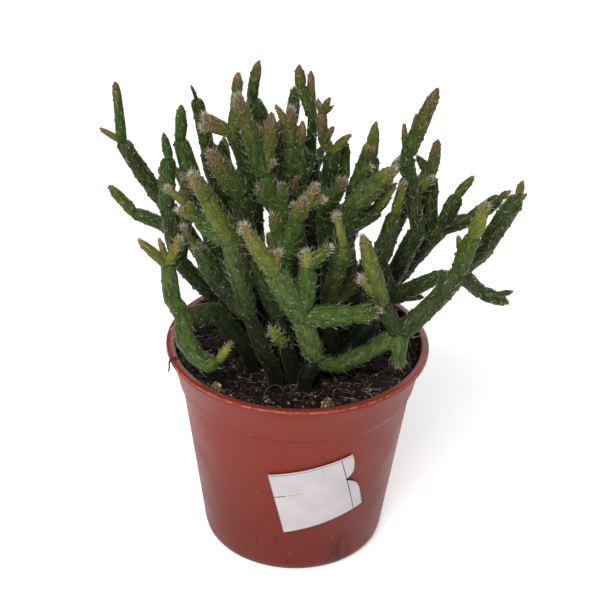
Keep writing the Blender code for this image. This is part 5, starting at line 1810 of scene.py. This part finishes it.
# bumps with cushions and bristles in a spiral along a shoot
def growBristles(span, across, draw, grown):
    coat, shoot = coatSettings, span["shoot"]
    bushy = isIn(bushyShoots, shoot)
    area = coat["areoleArea"] * (coat["bushyArea"] if bushy else 1 - coat["youngArea"] * shoot["youth"])
    atNone, perRadius = coat["bumpGrowth"]
    lifts = coat["bushyLift" if bushy else "bristleLift"]
    for foot, direction, out, place, fromTip in spiralSpots(span, across, draw, area):
        shade = paintedLightShare(foot, shoot["light"])
        size = draw.uniform(*coat["bumpSizes"]) * (atNone + perRadius * span["radius"])
        grown["bumps"].append((foot, direction, out, size, skinTone(span, place, out)))
        top = foot + out * coat["bumpTop"] * size
        if draw.random() < coat["cushionShare"]:
            size = draw.uniform(*coat["cushionSizes"])
            tone = (coat["cushionWarmth"], draw.uniform(*coat["cushionWool"]), shade, 1)
            grown["cushions"].append((top, direction, out, size, tone))
        warm = draw.uniform(*coat["warmths"])
        if shoot["brown"] and fromTip < coat["warmSpan"]:
            warm += coat["tipWarmth"]
        for _ in range(coat["bushyCount"] if bushy else draw.choice(coat["bristleCounts"])):
            aim = aimHair(draw, direction, out, lifts, coat["bristleSpread"])
            isLong = draw.random() < coat["longShare"] * shade
            length = draw.uniform(*coat["longLengths" if isLong else "bristleLengths"])
            lean = direction * draw.uniform(*coat["leansAlong"]) - out * draw.uniform(*coat["leansIn"])
            start = top - out * coat["bristleSinking"]
            grown["bristles"].append((start, aim, length, lean * length, (warm, 0, shade, 1)))


def growFuzz(span, across, draw, grown):
    coat, light = coatSettings, span["shoot"]["light"]
    for foot, direction, out, _, _ in spiralSpots(span, across, draw, coat["fuzzArea"]):
        aim = aimHair(draw, direction, out, coat["fuzzLift"], coat["fuzzSpread"])
        length = draw.uniform(*coat["fuzzLengths"])
        tone = (0, 1, paintedLightShare(foot, light), 1)
        grown["fuzz"].append((foot - out * coat["fuzzSinking"], aim, length, tone))


# bristles that fan out all round a tip
def growTuft(span, across, draw, grown):
    coat, shoot, ahead = coatSettings, span["shoot"], span["ahead"]
    side, beside = frameAlong(ahead, across)
    end = span["start"] + ahead * span["length"]
    turn = draw.uniform(0, math.tau)
    atNone, perRadius = coat["tuftGrowth"]
    thin, added = coat["tuftLength"]
    least, most = coat["tuftSpread"]
    count = coat["tuftBristles"] * shoot["tuft"] * (atNone + perRadius * span["radius"])
    for _ in range(int(count)):
        turn += goldenTurn
        spread = least + most * draw.random() ** coat["tuftCurve"]
        out = side * math.cos(turn) + beside * math.sin(turn)
        aim = ahead * math.cos(spread) + out * math.sin(spread)
        back = coat["tuftReach"] * span["radius"] * draw.random() * min(spread, 1.0)
        radius = spanAt(span, span["length"] - back)[2]
        foot = end - ahead * back + out * coat["tuftRing"] * radius
        length = draw.uniform(*coat["tuftLengths"]) * (thin + added * shoot["tuft"])
        lean = out * draw.uniform(*coat["tuftLeans"])
        tone = (draw.uniform(*coat["tuftWarmths"]), 0, paintedLightShare(end, shoot["light"]), 1)
        grown["bristles"].append((foot, aim, length, lean * length, tone))


def growCoat(line, draw, grown):
    for span in line:
        across = span["ahead"].orthogonal().normalized()
        growBristles(span, across, draw, grown)
        growFuzz(span, across, draw, grown)
        if span["isTip"] and span["shoot"]["tuft"]:
            growTuft(span, across, draw, grown)


def addCoat(grown, heap, patterns):
    coat = coatSettings
    bristle, fuzz, lump = patterns

    # two directions across each hair and its own, found from one that no hair follows
    def hairAxes(aims, lengths, width):
        slanted = np.array((0.31, 0.52, 0.79))
        side = np.cross(aims, slanted)
        side /= np.linalg.norm(side, axis=1)[:, None]
        beside = np.cross(aims, side)
        return np.stack((side * width, beside * width, aims * lengths[:, None]), axis=1)

    def columns(name):
        return [np.array(column) for column in zip(*grown[name])]

    feet, aims, lengths, leans, tones = columns("bristles")
    heap.addCopies(bristle, feet, hairAxes(aims, lengths, coat["bristleWidth"]), tones, 1, leans)
    feet, aims, lengths, tones = columns("fuzz")
    heap.addCopies(fuzz, feet, hairAxes(aims, lengths, coat["fuzzWidth"]), tones, 1)
    for name, finish, height in (("cushions", 1, coat["cushionHeight"]), ("bumps", 0, coat["bumpHeight"])):
        feet, aheads, outs, sizes, tones = columns(name)
        sizes = sizes[:, None]
        axes = np.stack((
            aheads * sizes * coat["lumpLength"], np.cross(outs, aheads) * sizes, outs * sizes * height,
        ), axis=1)
        heap.addCopies(lump, feet, axes, tones, finish)


def drawLooks(shoot, draw):
    plain = plainLooks
    looks = (draw.uniform(*plain["light"]), draw.uniform(*plain["youth"]), 0.0, 0.0)
    if shoot["hasEnd"]:
        youth = draw.uniform(*plain["thinYouth" if shoot["girth"] < plain["thin"] else "endYouth"])
        looks = (draw.uniform(*plain["endLight"]), youth,
                 draw.uniform(*plain["endBrown"]), draw.uniform(*plain["endTuft"]))
        if shoot["line"][1].z < plain["lowEnds"]:
            looks = (draw.uniform(*plain["lowLight"]), *plain["lowRest"])
    return shoot["looks"] or looks


def buildStems(shoots, skin, bristle):
    draw = random.Random(stemSettings["seed"])
    patterns = (spikePattern(sides=3, stages=2), spikePattern(sides=3, stages=1),
                lumpPattern(seed=3, roughness=0.12))
    for stem in dict.fromkeys(shoot["stem"] for shoot in shoots):
        members = [index for index, shoot in enumerate(shoots) if shoot["stem"] == stem]
        runs = findRuns(shoots, members)
        for shoot in (shoots[index] for index in members):
            shoot["light"], shoot["youth"], shoot["brown"], shoot["tuft"] = drawLooks(shoot, draw)
        heap = Heap()
        grown = {"bristles": [], "fuzz": [], "cushions": [], "bumps": []}
        for number, line in enumerate(readySpans(shoots, runs, draw)):
            buildRun(line, heap, number)
            growCoat(line, draw, grown)
        addCoat(grown, heap, patterns)
        words = stem.split("_")
        name = words[0] + "".join(word.capitalize() for word in words[1:])
        mesh = heap.toMesh(name, cadBox)
        addPiece(name, mesh, [skin, bristle], "stem_skin", stem)
        mesh.calc_loop_triangles()
        print(name, len(members), "shoots,", len(grown["bristles"]), "bristles,",
              len(mesh.loop_triangles), "triangles")


viewSettings = {
    "eye": (0.3, -346.3, 266.0),     # mm
    "target": (0.293, 0.0, 65.73),
    "roll": 0.0283,
    "lens": 98.3,
    "sensor": 36,
}


def placeCamera():
    data = bpy.data.cameras.new("camera")
    data.lens = viewSettings["lens"]
    data.sensor_width = viewSettings["sensor"]
    camera = bpy.data.objects.new("camera", data)
    bpy.context.scene.collection.objects.link(camera)
    eye, target = Vector(viewSettings["eye"]), Vector(viewSettings["target"])
    back = (eye - target).normalized()
    right = Vector((0, 0, 1)).cross(back).normalized()
    up = back.cross(right)
    roll = viewSettings["roll"]
    turnedRight = right * math.cos(roll) + up * math.sin(roll)
    turnedUp = up * math.cos(roll) - right * math.sin(roll)
    camera.matrix_world = Matrix.Translation(eye * mm) @ Matrix(
        (turnedRight, turnedUp, back)).transposed().to_4x4()
    bpy.context.scene.camera = camera


lightSettings = {
    # place in metres, width in metres, power in watts
    "keyLight": ((-0.24, -0.62, 0.8), 0.5, 9.6),
    "fillLight": ((0.7, -0.35, 0.45), 0.8, 0.3),
    "backLight": ((0.25, 0.9, 0.5), 0.9, 7.5),
    "aim": (0, 0, 0.06),
    "surroundings": 0.14,
    "floorWidth": 6.0,
    "floorPaleness": 0.93,
    "floorRoughness": 0.7,
    "floorGlow": 0.36,
}


def lightScene():
    scene = bpy.context.scene
    for name in ("keyLight", "fillLight", "backLight"):
        place, width, power = lightSettings[name]
        data = bpy.data.lights.new(name, "AREA")
        data.size = width
        data.energy = power
        light = bpy.data.objects.new(name, data)
        scene.collection.objects.link(light)
        light.location = place
        away = Vector(place) - Vector(lightSettings["aim"])
        light.rotation_euler = away.to_track_quat("Z", "Y").to_euler()
    world = bpy.data.worlds.new("paleRoom")
    world.use_nodes = True
    background = world.node_tree.nodes["Background"].inputs
    background["Color"].default_value = (1, 1, 1, 1)
    background["Strength"].default_value = lightSettings["surroundings"]
    scene.world = world
    shape = bmesh.new()
    bmesh.ops.create_grid(shape, x_segments=1, y_segments=1, size=lightSettings["floorWidth"] / 2)
    mesh = bpy.data.meshes.new("floor")
    shape.to_mesh(mesh)
    shape.free()
    material, _, shader = newMaterial("paleFloor", lightSettings["floorRoughness"])
    shader.inputs["Base Color"].default_value = (*[lightSettings["floorPaleness"]] * 3, 1)
    shader.inputs["Emission Color"].default_value = (1, 1, 1, 1)
    shader.inputs["Emission Strength"].default_value = lightSettings["floorGlow"]
    mesh.materials.append(material)
    floor = bpy.data.objects.new("floor", mesh)
    scene.collection.objects.link(floor)


placeCamera()
lightScene()
bpy.context.scene.view_settings.view_transform = "Standard"
print("camera, lights and floor in place")
points, fixed, shoots = plantClump()
easeApart(points, fixed, shoots)
print("skeleton grown:", len(shoots), "shoots")
buildPot(makePlastic())
print("pot turned")
peat = makePeat()
buildSoil(peat)
buildRoot(peat)
print("soil filled")
buildLabel(makePaper())
print("label laid on the wall")
buildStems(shoots, makeSkin(), makeBristle())
